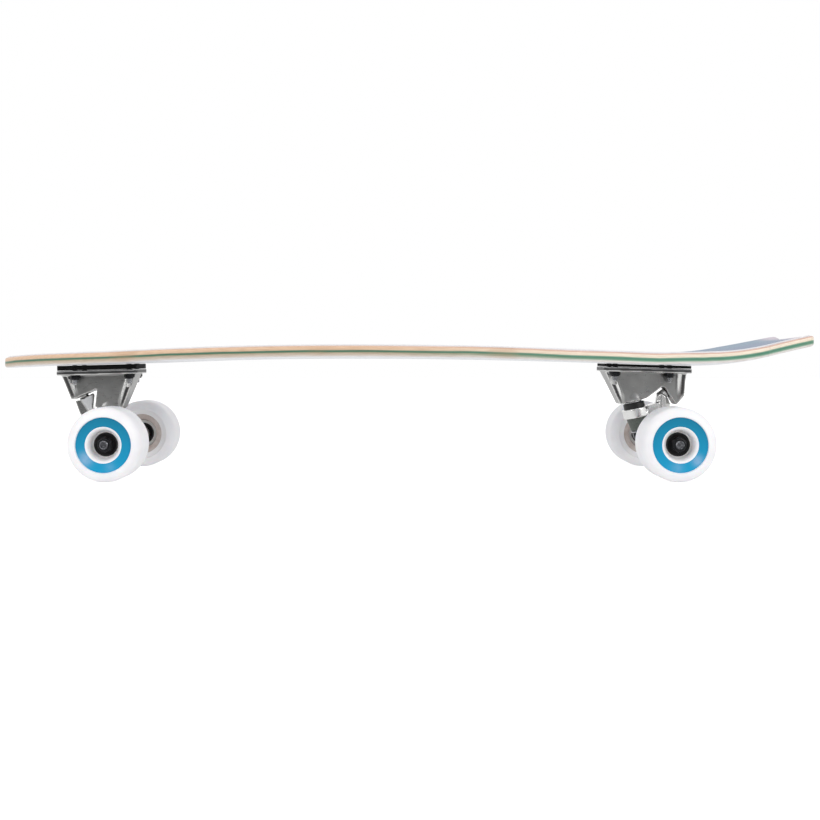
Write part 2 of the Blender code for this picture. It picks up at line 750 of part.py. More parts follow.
def pivot_frame(truck):
    """A frame on the pivot's middle, along its stem."""
    return axis_frame(truck.pivot, truck.stem)


def cup_radii():
    """Inner and outer radius of the pivot cup, whose flats clear the ball both ways."""
    inner = bore(PIVOT_BALL_RADIUS, MEDIUM) / cos(pi / 4 / CUP_STEPS)
    return inner, inner + PIVOT_CUP_WALL


def make_baseplate(truck):
    """The cast baseplate, bored for its bolts, kingpin and pivot cup."""
    seat = seat_frame(truck)
    plan = rounded_outline(truck.flange_low - truck.bolts_x, truck.flange_high - truck.bolts_x,
                           FLANGE_WIDTH / 2, FLANGE_CORNER)
    top = -truck.riser - SEAT_GAP
    base = prism("baseplate", plan, top - FLANGE_THICKNESS, top, seat)
    web, outer_leg, inner_leg = (front_base_outlines if truck.front else rear_base_outlines)(truck)
    boss_top = truck.seat.z - truck.height
    boss = turned("boss", [(0, 0), (KINGPIN_BOSS_RADIUS, 0),
                           (KINGPIN_BOSS_RADIUS + BOSS_DRAFT, boss_top + FLANGE_THICKNESS),
                           (0, boss_top + FLANGE_THICKNESS)], MEDIUM, truck.kingpin_frame)
    union(base, side_plate("web", web, WEB_HALF_WIDTH), leg("leg", outer_leg),
          leg("leg", inner_leg), boss)
    head_room = KINGPIN_NUT_FLATS / 2 / cos(pi / 6) + BOLT_CLEARANCE
    hole = bore(KINGPIN_RADIUS, MEDIUM)
    pocket = -KINGPIN_ABOVE_SEAT + SEAT_GAP
    kingpin_room = turned("room", [(0, CUT_PAST), (hole, CUT_PAST), (hole, pocket), (head_room, pocket),
                                   (head_room, -CUT_FAR), (0, -CUT_FAR)], MEDIUM, truck.kingpin_frame)
    inner, outer = cup_radii()
    deep = -inner - PIVOT_CUP_WALL - SEAT_GAP
    cup_hole = bore(outer, MEDIUM)
    cup_room = turned("room", [(0, deep), (cup_hole * 0.8, deep), (cup_hole, 0), (cup_hole, 3 * CUT_PAST),
                               (0, 3 * CUT_PAST)], MEDIUM, pivot_frame(truck))
    rooms = [kingpin_room, cup_room]
    for x, y in bolt_places():
        foot = top - FLANGE_THICKNESS
        profile = [(0, foot - SPOT_FACE_DEPTH), (SPOT_FACE_RADIUS, foot - SPOT_FACE_DEPTH),
                   (SPOT_FACE_RADIUS, foot), (BOLT_RADIUS + BOLT_CLEARANCE, foot),
                   (BOLT_RADIUS + BOLT_CLEARANCE, CUT_PAST), (0, CUT_PAST)]
        rooms.append(turned("room", profile, COARSE, seat @ Matrix.Translation((x, y, 0))))
    cut(base, *rooms)
    base.data.transform(truck.place)
    finish(base, truck.name + "_baseplate", "cast_aluminium", truck.place @ truck.seat)


def make_riser(truck):
    """The rubber pad between deck and baseplate."""
    seat = seat_frame(truck)
    plan = rounded_outline(truck.flange_low - truck.bolts_x + 0.0008,
                           truck.flange_high - truck.bolts_x - 0.0006, RISER_WIDTH / 2, RISER_CORNER)
    riser = prism("riser", plan, -truck.riser, -SEAT_GAP, seat)
    for x, y in bolt_places():
        frame = seat @ Matrix.Translation((x, y, 0))
        hole = BOLT_RADIUS + BOLT_CLEARANCE
        profile = [(0, -2 * CUT_PAST), (hole, -2 * CUT_PAST), (hole, CUT_PAST), (0, CUT_PAST)]
        cut(riser, turned("room", profile, COARSE, frame))
    riser.data.transform(truck.place)
    finish(riser, truck.name + "_riser_pad", "black_rubber", truck.place @ truck.seat, flat=True)


def make_bolts(truck):
    """Four countersunk bolts from the deck's top, and their nuts under the flange."""
    nut_top = -truck.riser - FLANGE_THICKNESS - 2 * SEAT_GAP
    length = bolt_top() - nut_top + NUT_HEIGHT + BOLT_TAIL
    hole = bore(BOLT_RADIUS, COARSE)
    for number, (x, y) in enumerate(bolt_places(), 1):
        frame = seat_frame(truck) @ Matrix.Translation((x, y, 0))
        lift = Matrix.Translation((0, 0, bolt_top()))
        bolt = turned("bolt", bolt_profile(length), COARSE, frame @ lift)
        nut = prism("nut", hexagon(NUT_FLATS), nut_top - NUT_HEIGHT, nut_top, frame)
        profile = [(0, -CUT_FAR), (hole, -CUT_FAR), (hole, CUT_PAST), (0, CUT_PAST)]
        cut(nut, turned("room", profile, COARSE, frame))
        for obj, kind, finish_name in ((bolt, "bolt", "bright_steel"), (nut, "bolt_nut", "black_steel")):
            obj.data.transform(truck.place)
            finish(obj, f"{truck.name}_{kind}_{number}", finish_name, truck.place @ frame.translation)


def make_pivot_cup(truck):
    """The cup that holds the hanger's pivot ball, open toward the ring."""
    inner, outer = cup_radii()
    bottom = -inner - PIVOT_CUP_WALL
    angles = [-pi / 2 * (1 - i / CUP_STEPS) for i in range(CUP_STEPS + 1)]
    profile = [(inner * cos(a), inner * sin(a)) for a in angles]
    profile += [(inner + PIVOT_MOUTH_FLARE, PIVOT_MOUTH), (outer, PIVOT_MOUTH), (outer, 0),
                (outer * 0.8, bottom), (0, bottom)]
    cup = turned("pivot_cup", profile, MEDIUM, pivot_frame(truck))
    cup.data.transform(truck.place)
    finish(cup, truck.name + "_pivot_cup", "black_urethane", truck.place @ truck.pivot)


def make_kingpin_stack(truck):
    """Kingpin, nut, washers and the two bushings."""
    levels = stack(truck)
    frame = truck.kingpin_frame
    head = -KINGPIN_ABOVE_SEAT
    shank = turned("kingpin", [(0, head - 0.001), (KINGPIN_RADIUS, head - 0.001),
                               (KINGPIN_RADIUS, levels.end - 0.0008),
                               (KINGPIN_RADIUS - 0.0008, levels.end), (0, levels.end)], MEDIUM, frame)
    union(shank, prism("head", hexagon(KINGPIN_NUT_FLATS), head - KINGPIN_HEAD_HEIGHT, head, frame))
    nut = prism("nut", hexagon(KINGPIN_NUT_FLATS, pi / 6), *levels.nut, frame)
    hole = bore(KINGPIN_RADIUS, MEDIUM)
    cut(nut, turned("room", [(0, 0), (hole, 0), (hole, CUT_FAR), (0, CUT_FAR)], MEDIUM, frame))

    def ring_of(level, top_radius, foot_radius):
        top, foot = level
        profile = [(hole, top), (top_radius, top), (foot_radius, foot), (hole, foot)]
        return turned("ring", profile, MEDIUM, frame)

    washer = BUSHING_WASHER_RADIUS
    upper_washer = ring_of(levels.upper_washer, washer, washer)
    lower_washer = ring_of(levels.lower_washer, washer, washer)
    upper = ring_of(levels.upper_bushing, BUSHING_RADIUS, BUSHING_RADIUS)
    lower = ring_of(levels.lower_bushing, BUSHING_RADIUS, BUSHING_FOOT_RADIUS)
    pieces = ((shank, "kingpin", "bright_steel"), (nut, "kingpin_nut", "black_steel"),
              (upper_washer, "upper_bushing_washer", "bright_steel"),
              (lower_washer, "lower_bushing_washer", "bright_steel"),
              (upper, "upper_bushing", "black_urethane"), (lower, "lower_bushing", "grey_urethane"))
    for obj, kind, finish_name in pieces:
        obj.data.transform(truck.place)
        finish(obj, f"{truck.name}_{kind}", finish_name, truck.place @ truck.seat)


def hanger_end():
    """How far the hanger's ends lie from the middle of the board."""
    return WHEEL_CENTRE_Y - BEARING_WIDTH - BEARING_GAP / 2 - AXLE_WASHER_THICKNESS - 2 * SEAT_GAP


def front_hanger_outlines(truck):
    """Side views of the front hanger's neck, outside its ring, and arm, inside it."""
    ring, pivot = truck.ring, truck.pivot
    neck = [near(pivot, -0.0052, -0.0094), near(pivot, -0.0005, -0.0225), near(ring, -0.0191, -0.0010),
            near(ring, -0.0123, -0.0025), near(ring, -0.0106, 0.0065), near(ring, -0.0121, 0.0145),
            near(pivot, 0.0130, -0.0030), near(pivot, 0.0113, -0.0017), near(pivot, 0.0073, -0.0040),
            near(pivot, 0.0038, -0.0068)]
    low = HANGER_SQUARE
    arm = [near(ring, 0.0099, 0.0023), (-0.004, 0.0125), (low + 0.001, low), (low + 0.001, -low),
           (-low, -low), (-0.0125, 0.0015), near(ring, 0.0094, -0.0090)]
    return neck, arm


def rear_hanger_outlines(truck):
    """Side views of the rear hanger's column up to the pivot, and its short arm to the ring."""
    ring, pivot = truck.ring, truck.pivot
    low = HANGER_SQUARE
    neck = [near(pivot, 0.0041, -0.0083), near(pivot, 0.0091, -0.0038), near(pivot, 0.0129, -0.0056),
            near(pivot, 0.0141, -0.0123), near(pivot, 0.0170, -0.0330), (low, 0.0), (low, -low),
            (-low, -low), (-0.0100, 0.006), (-0.0115, 0.025), near(pivot, 0.0001, -0.0148)]
    arm = [near(pivot, 0.0110, -0.0125), near(ring, -0.0116, 0.0073), near(ring, -0.0108, -0.0010),
           near(ring, -0.0137, -0.0018), near(pivot, 0.0110, -0.0300)]
    return neck, arm


def pivot_stem(truck):
    """The ball end in the cup, and the stem that carries it."""
    ball = PIVOT_BALL_RADIUS
    bend = sqrt(ball * ball - PIVOT_NECK_RADIUS * PIVOT_NECK_RADIUS)
    profile = [(0, -ball), (ball * 0.5, -ball * sqrt(0.75)), (ball * sqrt(0.75), -ball * 0.5), (ball, 0),
               (PIVOT_NECK_RADIUS, bend), (PIVOT_NECK_RADIUS + PIVOT_STEM_FLARE, PIVOT_STEM_LENGTH),
               (0, PIVOT_STEM_LENGTH)]
    return turned("stem", profile, MEDIUM, pivot_frame(truck))


def make_hanger(truck, carrier):
    """The cast hanger: axle housing, wings, arm, ring and pivot stem."""
    levels = stack(truck)
    end = hanger_end()
    across = axis_frame((0, 0, 0), (0, 1, 0))
    housing = turned("hanger", [(0, -end), (HOUSING_END_RADIUS, -end), (HOUSING_RADIUS, -end * 0.4),
                                (HOUSING_RADIUS, end * 0.4), (HOUSING_END_RADIUS, end), (0, end)],
                     MEDIUM, across)
    neck, arm = (front_hanger_outlines if truck.front else rear_hanger_outlines)(truck)
    crest = FRONT_WING_CREST if truck.front else REAR_WING_CREST
    wing_x = FRONT_WING_X if truck.front else REAR_WING_X
    wing = [(WING_REACH, -WING_FOOT), (WING_REACH, WING_END), (WING_MIDDLE, crest), (-WING_MIDDLE, crest),
            (-WING_REACH, WING_END), (-WING_REACH, -WING_FOOT)]
    sideways = Matrix(((0, 0, 1, 0), (1, 0, 0, 0), (0, 1, 0, 0), (0, 0, 0, 1)))
    ring = turned("ring", [(0, levels.ring_top), (RING_RADIUS, levels.ring_top),
                           (RING_RADIUS, levels.ring_foot), (0, levels.ring_foot)],
                  FINE, truck.kingpin_frame)
    wing_low, wing_high = wing_x - WING_THICKNESS / 2, wing_x + WING_THICKNESS / 2
    union(housing, prism("wing", wing, wing_low, wing_high, sideways),
          side_plate("neck", neck, HANGER_NECK_HALF_WIDTH), side_plate("arm", arm, HANGER_ARM_HALF_WIDTH),
          ring, pivot_stem(truck))
    cup = BUSHING_RADIUS + 1.5 * SEAT_GAP
    foot = BUSHING_WASHER_RADIUS + BOLT_CLEARANCE
    axle_hole = bore(AXLE_RADIUS, MEDIUM)
    passage = [(0, 0), (cup, 0), (cup, levels.upper_floor), (RING_BORE_RADIUS, levels.upper_floor),
               (RING_BORE_RADIUS, levels.lower_floor), (cup, levels.lower_floor), (cup, levels.ring_foot),
               (foot, levels.lower_bushing[1]), (foot, CUT_FAR), (0, CUT_FAR)]
    rooms = [
        turned("room", passage, FINE, truck.kingpin_frame),
        rod("room", (0, -DECK_WIDTH, 0), (0, DECK_WIDTH, 0), axle_hole, axle_hole, MEDIUM),
    ]
    if not truck.front:
        out = -2 * LEAN_ROOM
        plan = [(foot, -LEAN_ROOM), (foot, LEAN_ROOM), (out, LEAN_ROOM), (out, -LEAN_ROOM)]
        level = levels.lower_bushing[1] - LEAN_RISE
        rooms.append(prism("room", plan, level, CUT_FAR, truck.kingpin_frame))
    cut(housing, *rooms)
    housing.data.transform(truck.place)
    finish(housing, truck.name + "_hanger", "polished_aluminium", truck.place @ truck.ring, carrier)


# Wheels, bearings and axles

def bearing_offsets():
    """Where the two bearings of a wheel lie along its axle, from its middle."""
    offset = (BEARING_GAP + BEARING_WIDTH) / 2
    return -offset, offset


def across_at(x, y):
    """A world frame along the axle direction."""
    return axis_frame((x, y, WHEEL_RADIUS), (0, 1, 0))


def tyre_profile():
    """Section of the urethane: bore, dish, printed face, lip and tread."""
    half = WHEEL_WIDTH / 2
    face = half - FACE_RECESS
    span = BEARING_WIDTH + BEARING_GAP / 2
    swell = 1 / cos(pi / WHEEL_FACETS)
    middle = WHEEL_RADIUS - LIP_ROUND
    side = [(bore(CORE_RADIUS, WHEEL_FACETS), span), (FACE_INNER_RADIUS, face), (FACE_OUTER_RADIUS, face)]
    for angle in (85, 45, 0):
        turn = radians(angle)
        side.append(((middle + LIP_ROUND * cos(turn)) * swell, half - LIP_ROUND + LIP_ROUND * sin(turn)))
    return side + [(r, -h) for r, h in reversed(side)]


def core_profile():
    """Section of the hub: two bearing seats and the shoulder between them."""
    span = BEARING_WIDTH + BEARING_GAP / 2
    seat = bore(BEARING_RADIUS, MEDIUM)
    step = BEARING_GAP / 2 - SEAT_GAP
    half = [(CORE_RADIUS, span), (seat, span), (seat, step), (CORE_SHOULDER_RADIUS, step)]
    return half + [(r, -h) for r, h in reversed(half)]


def bearing_profile():
    """Section of a sealed bearing round its inner race, with the seals set in a little."""
    inner = bore(INNER_RACE_RADIUS, MEDIUM)
    half = BEARING_WIDTH / 2
    side = [(inner, half - SEAL_RECESS), (SEAL_RADIUS, half - SEAL_RECESS), (SEAL_RADIUS, half),
            (BEARING_RADIUS, half)]
    return side + [(r, -h) for r, h in reversed(side)]


def make_wheel(name, x, y, carrier):
    """One wheel with what spins in it."""
    hub = joint_point(name + "_wheel_joint", (x, y, WHEEL_RADIUS), carrier)
    facet_down = -pi / 2 + pi / WHEEL_FACETS
    tyre = turned("tyre", tyre_profile(), WHEEL_FACETS, across_at(x, y), facet_down)
    core = turned("core", core_profile(), MEDIUM, across_at(x, y))
    pieces = [(tyre, "tyre", "white_urethane"), (core, "core", "core_plastic")]
    for offset in bearing_offsets():
        bearing = turned("bearing", bearing_profile(), MEDIUM, across_at(x, y + offset))
        kind = "outer_bearing" if offset * y > 0 else "inner_bearing"
        pieces.append((bearing, kind, "sealed_bearing"))
    for obj, kind, finish_name in pieces:
        finish(obj, f"{name}_{kind}", finish_name, (x, y, WHEEL_RADIUS), hub)


def axle_profile(nut_low, end):
    """Half of the axle's outline: bare in the hanger, then the clamped washers, races and spacer."""
    sleeve = hanger_end() + SEAT_GAP
    inner_race = WHEEL_CENTRE_Y - BEARING_GAP / 2 - BEARING_WIDTH
    outer_race = WHEEL_CENTRE_Y + BEARING_GAP / 2
    outline = [(AXLE_RADIUS, sleeve)]
    runs = ((AXLE_WASHER_RADIUS, sleeve, inner_race),
            (INNER_RACE_RADIUS, inner_race, inner_race + BEARING_WIDTH),
            (SPACER_RADIUS, inner_race + BEARING_WIDTH, outer_race),
            (INNER_RACE_RADIUS, outer_race, outer_race + BEARING_WIDTH),
            (AXLE_WASHER_RADIUS, outer_race + BEARING_WIDTH, nut_low - SEAT_GAP))
    for radius, start, stop in runs:
        outline += [(radius, start), (radius, stop)]
    outline += [(AXLE_RADIUS, nut_low - SEAT_GAP), (AXLE_RADIUS, end - 0.0008), (AXLE_RADIUS * 0.8, end)]
    return outline


def make_axle_set(truck, carrier):
    """The axle with the sleeves clamped on it, and its two nuts."""
    x = FRONT_AXLE_X if truck.front else REAR_AXLE_X
    hole = bore(AXLE_RADIUS, MEDIUM)
    nut_low = WHEEL_CENTRE_Y + BEARING_WIDTH + BEARING_GAP / 2 + AXLE_WASHER_THICKNESS + 2 * SEAT_GAP
    end = nut_low + AXLE_NUT_HEIGHT + AXLE_END
    half = axle_profile(nut_low, end)
    outline = [(0, -end)] + [(r, -y) for r, y in reversed(half)] + half + [(0, end)]
    axle = turned("axle", outline, MEDIUM, across_at(x, 0))
    finish(axle, truck.name + "_axle", "bright_steel", truck.place @ truck.ring, carrier)
    for side, y_sign in (("left", -1), ("right", 1)):
        nut_y = y_sign * (nut_low + AXLE_NUT_HEIGHT / 2)
        nut = prism("nut", hexagon(AXLE_NUT_FLATS), -AXLE_NUT_HEIGHT / 2, AXLE_NUT_HEIGHT / 2,
                    across_at(x, nut_y))
        start, stop = (x, -DECK_WIDTH, WHEEL_RADIUS), (x, DECK_WIDTH, WHEEL_RADIUS)
        cut(nut, rod("room", start, stop, hole, hole, MEDIUM))
        finish(nut, f"{truck.name}_{side}_axle_nut", "black_steel", truck.place @ truck.ring, carrier)


def make_truck(truck):
    """A whole truck, with its hanger and wheels carried by the steering joint."""
    make_riser(truck)
    make_baseplate(truck)
    make_bolts(truck)
    make_pivot_cup(truck)
    make_kingpin_stack(truck)
    steer = joint_point(truck.name + "_steer_joint", truck.place @ truck.ring)
    make_hanger(truck, steer)
    make_axle_set(truck, steer)
    x = FRONT_AXLE_X if truck.front else REAR_AXLE_X
    for side, y in (("left", -WHEEL_CENTRE_Y), ("right", WHEEL_CENTRE_Y)):
        make_wheel(f"{truck.name}_{side}", x, y, steer)


def main():
    clear_scene()
    trucks = [truck_spec("front"), truck_spec("rear")]
    make_deck(trucks)
    for truck in trucks:
        make_truck(truck)


main()
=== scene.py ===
"""Looks of the surfskate: deck, grip film, cast surf trucks, their hardware and four soft wheels.

Metres, in the row frame: nose at -X, tail at +X, ground at z = 0. A truck is drawn in its own frame,
x from its axle toward the middle of the board and z up from the axle, as the CAD solids are.
"""
import json
from math import cos, exp, pi, radians, sin, sqrt, tan
from types import SimpleNamespace

import bpy
import numpy as np
from mathutils import Matrix, Vector

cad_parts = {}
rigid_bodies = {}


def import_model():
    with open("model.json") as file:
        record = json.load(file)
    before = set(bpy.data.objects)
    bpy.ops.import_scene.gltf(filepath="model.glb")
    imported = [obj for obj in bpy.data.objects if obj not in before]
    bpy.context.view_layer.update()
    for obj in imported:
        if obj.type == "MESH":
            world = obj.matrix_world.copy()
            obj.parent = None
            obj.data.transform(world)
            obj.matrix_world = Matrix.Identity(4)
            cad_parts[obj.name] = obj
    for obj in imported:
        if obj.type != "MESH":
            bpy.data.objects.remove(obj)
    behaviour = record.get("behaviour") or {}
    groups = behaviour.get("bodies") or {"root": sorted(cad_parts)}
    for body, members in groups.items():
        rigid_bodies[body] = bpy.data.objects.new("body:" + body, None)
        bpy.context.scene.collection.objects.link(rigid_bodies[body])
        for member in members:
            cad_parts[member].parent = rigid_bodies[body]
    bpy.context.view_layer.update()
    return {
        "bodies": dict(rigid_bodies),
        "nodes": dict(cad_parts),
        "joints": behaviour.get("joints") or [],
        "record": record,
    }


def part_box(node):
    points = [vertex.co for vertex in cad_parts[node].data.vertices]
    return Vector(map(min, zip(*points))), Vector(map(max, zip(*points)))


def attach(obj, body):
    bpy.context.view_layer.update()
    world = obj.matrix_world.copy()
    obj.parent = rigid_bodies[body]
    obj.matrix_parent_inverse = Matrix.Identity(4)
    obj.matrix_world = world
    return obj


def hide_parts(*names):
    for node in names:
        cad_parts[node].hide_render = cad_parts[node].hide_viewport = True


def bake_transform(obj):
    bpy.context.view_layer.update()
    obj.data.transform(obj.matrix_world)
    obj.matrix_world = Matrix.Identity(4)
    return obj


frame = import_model()

MM = 0.001
MERGE_DISTANCE = 0.000005   # points this near each other become one
TINY = 1e-7                 # radius of a turned piece's points on its axis


# Modelling tools

def deselect():
    """Object mode and nothing selected, before each new piece."""
    if bpy.context.object and bpy.context.object.mode != "OBJECT":
        bpy.ops.object.mode_set(mode="OBJECT")
    bpy.ops.object.select_all(action="DESELECT")


def pick(*objects):
    """Select these objects alone, the first one active."""
    deselect()
    for obj in objects:
        obj.select_set(True)
    bpy.context.view_layer.objects.active = objects[0]
    return objects[0]


def settle(obj):
    """Apply the object's place and its modifiers, so that all of it is in the mesh."""
    pick(obj)
    bpy.ops.object.transform_apply(location=True, rotation=True, scale=True)
    for modifier in list(obj.modifiers):
        bpy.ops.object.modifier_apply(modifier=modifier.name)
    return obj


def clean(obj):
    """Merge doubles and point the faces outwards."""
    pick(obj)
    bpy.ops.object.mode_set(mode="EDIT")
    bpy.ops.mesh.select_all(action="SELECT")
    bpy.ops.mesh.remove_doubles(threshold=MERGE_DISTANCE)
    bpy.ops.mesh.normals_make_consistent(inside=False)
    bpy.ops.object.mode_set(mode="OBJECT")
    return obj


def rounded(obj, width, segments, angle):
    """Round the edges that are sharper than this angle."""
    bevel = obj.modifiers.new("rounding", "BEVEL")
    bevel.width = width
    bevel.segments = segments
    bevel.limit_method = "ANGLE"
    bevel.angle_limit = radians(angle)
    return settle(obj)


def along(origin, direction):
    """A matrix whose Z runs along direction and whose Y stays across the board."""
    z_axis = Vector(direction).normalized()
    side = Vector((0, 1, 0)) if abs(z_axis.y) < 0.9 else Vector((0, 0, 1))
    x_axis = side.cross(z_axis).normalized()
    turn = Matrix((x_axis, z_axis.cross(x_axis), z_axis)).transposed().to_4x4()
    return Matrix.Translation(origin) @ turn


def turned(name, section, steps, matrix=Matrix()):
    """A turned piece: a ring of edges, extruded and resized along its section of (radius, height)."""
    deselect()
    radius, height = section[0]
    bpy.ops.mesh.primitive_circle_add(vertices=steps, radius=max(radius, TINY), location=(0, 0, height))
    obj = settle(bpy.context.object)
    bpy.ops.object.mode_set(mode="EDIT")
    bpy.ops.mesh.select_all(action="SELECT")
    for next_radius, next_height in section[1:]:
        step = max(next_radius, TINY) / max(radius, TINY)
        bpy.ops.mesh.extrude_edges_move(TRANSFORM_OT_translate={"value": (0, 0, next_height - height)})
        bpy.ops.transform.resize(value=(step, step, 1), center_override=(0, 0, next_height))
        radius, height = next_radius, next_height
    clean(obj)
    obj.name = name
    obj.data.transform(matrix)
    return obj


def plate(name, outline, low, high, matrix=Matrix()):
    """A flat outline of (x, y) points, extruded from low to high."""
    deselect()
    bpy.ops.mesh.primitive_circle_add(vertices=len(outline), radius=1, fill_type="NGON")
    obj = bpy.context.object
    for vertex, (x, y) in zip(obj.data.vertices, outline):
        vertex.co = (x, y, low)
    bpy.ops.object.mode_set(mode="EDIT")
    bpy.ops.mesh.select_all(action="SELECT")
    bpy.ops.mesh.extrude_region_move(TRANSFORM_OT_translate={"value": (0, 0, high - low)})
    clean(obj)
    obj.name = name
    obj.data.transform(matrix)
    return obj


def side_plate(name, outline, half_width):
    """An outline of (x, z) points in the side view, as thick as twice half_width."""
    return plate(name, outline, -half_width, half_width, Matrix.Rotation(pi / 2, 4, "X"))


def drill(radius, low, high, matrix=Matrix()):
    """A plain round cutter from low to high."""
    return turned("drill", [(0, low), (radius, low), (radius, high), (0, high)], 32, matrix)


def ramp(value, low, high):
    """The share of the way from low to high that value has gone, from 0 to 1."""
    return min(1.0, max(0.0, (value - low) / (high - low)))


def drop(*objects):
    """Remove tools, and pieces that were only copied."""
    for obj in objects:
        bpy.data.objects.remove(obj, do_unlink=True)


def boolean(obj, tool, operation):
    """Cut, add or keep the shared part, and drop the tool."""
    modifier = obj.modifiers.new("boolean", "BOOLEAN")
    modifier.operation = operation
    modifier.solver = "EXACT"
    modifier.object = tool
    settle(obj)
    drop(tool)
    return obj


def joined(name, pieces):
    """Several meshes as one piece."""
    pick(*pieces)
    bpy.ops.object.join()
    obj = bpy.context.object
    obj.name = name
    return obj


def mark_edges(obj):
    """Give each point of a casting the share in which it lies on an outward edge."""
    mesh = obj.data
    count = len(mesh.vertices)
    places, normals = np.empty(count * 3), np.empty(count * 3)
    mesh.vertices.foreach_get("co", places)
    mesh.vertices.foreach_get("normal", normals)
    places, normals = places.reshape(-1, 3), normals.reshape(-1, 3)
    ends = np.empty(len(mesh.edges) * 2, dtype=np.int32)
    mesh.edges.foreach_get("vertices", ends)
    ends = np.concatenate((ends.reshape(-1, 2), ends.reshape(-1, 2)[:, ::-1]))
    links = np.maximum(1, np.bincount(ends[:, 0], minlength=count))

    def around(values):
        return np.bincount(ends[:, 0], weights=values[ends[:, 1]], minlength=count) / links

    lean = sum((around(places[:, axis]) - places[:, axis]) * normals[:, axis] for axis in range(3))
    share = np.clip((-lean / (0.06 * MM) - 0.35) * 1.6, 0, 1)
    for _ in range(2):
        share = (share + around(share)) / 2
    # This share gives the metal finishes a painted highlight along outward edges
    mesh.attributes.new("edge", "FLOAT", "POINT").data.foreach_set("value", share)
    return obj


def cast_as_one(name, pieces):
    """Pieces that overlap, fused into one casting with soft fillets where they meet."""
    obj = joined(name, pieces)
    remesh = obj.modifiers.new("fuse", "REMESH")
    remesh.mode = "VOXEL"
    remesh.voxel_size = 0.6 * MM
    soften = obj.modifiers.new("fillets", "SMOOTH")
    soften.factor = 0.5
    soften.iterations = 5
    return mark_edges(settle(obj))


def copied(obj, name, matrix):
    """A copy with its own mesh, set elsewhere."""
    twin = obj.copy()
    twin.data = obj.data.copy()
    twin.name = name
    bpy.context.scene.collection.objects.link(twin)
    twin.data.transform(matrix)
    if matrix.determinant() < 0:
        twin.data.flip_normals()
    return twin


def hexagon_nut(name, flats, low, high, matrix, bore, turn=0.0, collar=0.0):
    """A lock nut: hexagon with its corners turned off, a rounded collar toward high, and its bore."""
    radius = flats / 2 / cos(pi / 6)
    corners = [(radius * cos(turn + i * pi / 3), radius * sin(turn + i * pi / 3)) for i in range(6)]
    top = high - collar
    obj = plate(name, corners, low, top)
    chamfer = (radius - flats / 2) * 0.6
    face, past = flats / 2 * 0.97, radius + 0.1 * MM
    cap = [(0, low - MM), (face, low - MM), (face, low), (past, low + chamfer), (past, top - chamfer),
           (face, top), (face, top + MM), (0, top + MM)]
    boolean(obj, turned("cap", cap, 48), "INTERSECT")
    rim = flats / 2 * 0.93
    if collar:
        dome = turned("collar", [(0, low + chamfer), (rim, low + chamfer), (rim, high - 0.4 * collar),
                                 (rim - 0.15 * collar, high - 0.1 * collar), (rim - 0.4 * collar, high),
                                 (0, high)], 48)
        boolean(obj, dome, "UNION")
    boolean(obj, drill(bore, low - MM, high + MM), "DIFFERENCE")
    rounded(obj, 0.1 * MM, 2, 25)
    obj.data.transform(matrix)
    return obj


def coat(obj, material, chosen):
    """Put one more material on a piece's chosen faces."""
    obj.data.materials.append(material)
    for polygon in obj.data.polygons:
        if chosen(polygon):
            polygon.material_index = len(obj.data.materials) - 1


def both_halves(side):
    """A closed section that is the same above and below its middle, from its upper half."""
    section = side + [(radius, -height) for radius, height in reversed(side)]
    return section + section[:1]


def dress(obj, name, body, material, slot, *nodes, angle=35.0):
    """Give a finished piece its name, shading, material, body and the nodes that it stands for.

    A piece given a tuple in place of a body's name has its place baked into its mesh and joins no body.
    """
    obj.name = name
    obj.data.name = name
    obj.data.materials.clear()
    obj.data.materials.append(material)
    pick(obj)
    bpy.ops.object.shade_smooth_by_angle(angle=radians(angle))
    if isinstance(body, str):
        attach(obj, body)
    else:
        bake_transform(obj)
    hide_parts(*nodes)
    return obj


# Materials

def linear(hex_colour):
    """A linear colour from an sRGB hex value."""
    channels = [int(hex_colour[i:i + 2], 16) / 255 for i in (1, 3, 5)]
    return [c / 12.92 if c <= 0.04045 else ((c + 0.055) / 1.055) ** 2.4 for c in channels] + [1.0]


def output_of(source):
    """The output that a node gives, or the socket itself."""
    if isinstance(source, bpy.types.Node):
        return next(output for output in source.outputs if output.enabled)
    return source


def add(tree, kind, settings=None, **links):
    """Add a node with its settings and what feeds its sockets, named or numbered, and return it."""
    node = tree.nodes.new("ShaderNode" + kind)
    for name, value in (settings or {}).items():
        setattr(node, name, value)
    for name, value in links.items():
        socket = node.inputs[int(name[1:]) if name[0] == "_" else name.replace("_", " ")]
        value = output_of(value)
        if isinstance(value, bpy.types.NodeSocket):
            tree.links.new(value, socket)
        else:
            socket.default_value = linear(value) if isinstance(value, str) else value
    return node


def noise(tree, place, scale, detail, stretch=None):
    """Grain of 1 / scale metres, or of 1 / (scale * stretch) along each axis."""
    if stretch:
        place = add(tree, "Mapping", Vector=place, Scale=stretch)
    return add(tree, "TexNoise", Vector=place, Scale=scale, Detail=detail)


def spread(tree, value, low, high, to_low=0.0, to_high=1.0, kind="LINEAR"):
    """A value between low and high, carried over to another range and held at its ends."""
    return add(tree, "MapRange", {"interpolation_type": kind}, Value=value, From_Min=low, From_Max=high,
               To_Min=to_low, To_Max=to_high)


def tint(tree, value, *stops):
    """The colour for a value, from colours at places in their order."""
    node = add(tree, "ValToRGB", Fac=value)
    for place, colour in stops[1:-1]:
        node.color_ramp.elements.new(place)
    for element, (place, colour) in zip(node.color_ramp.elements, stops):
        element.position = place
        element.color = linear(colour)
    return node


def mixed(tree, share, first, second, kind="MIX"):
    """Two colours mixed, with this share of the second one."""
    return add(tree, "Mix", {"data_type": "RGBA", "blend_type": kind}, _0=share, _6=first, _7=second)


def share_of(tree, name):
    """The share that each point of the mesh has under this name."""
    return add(tree, "Attribute", {"attribute_name": name}).outputs["Fac"]


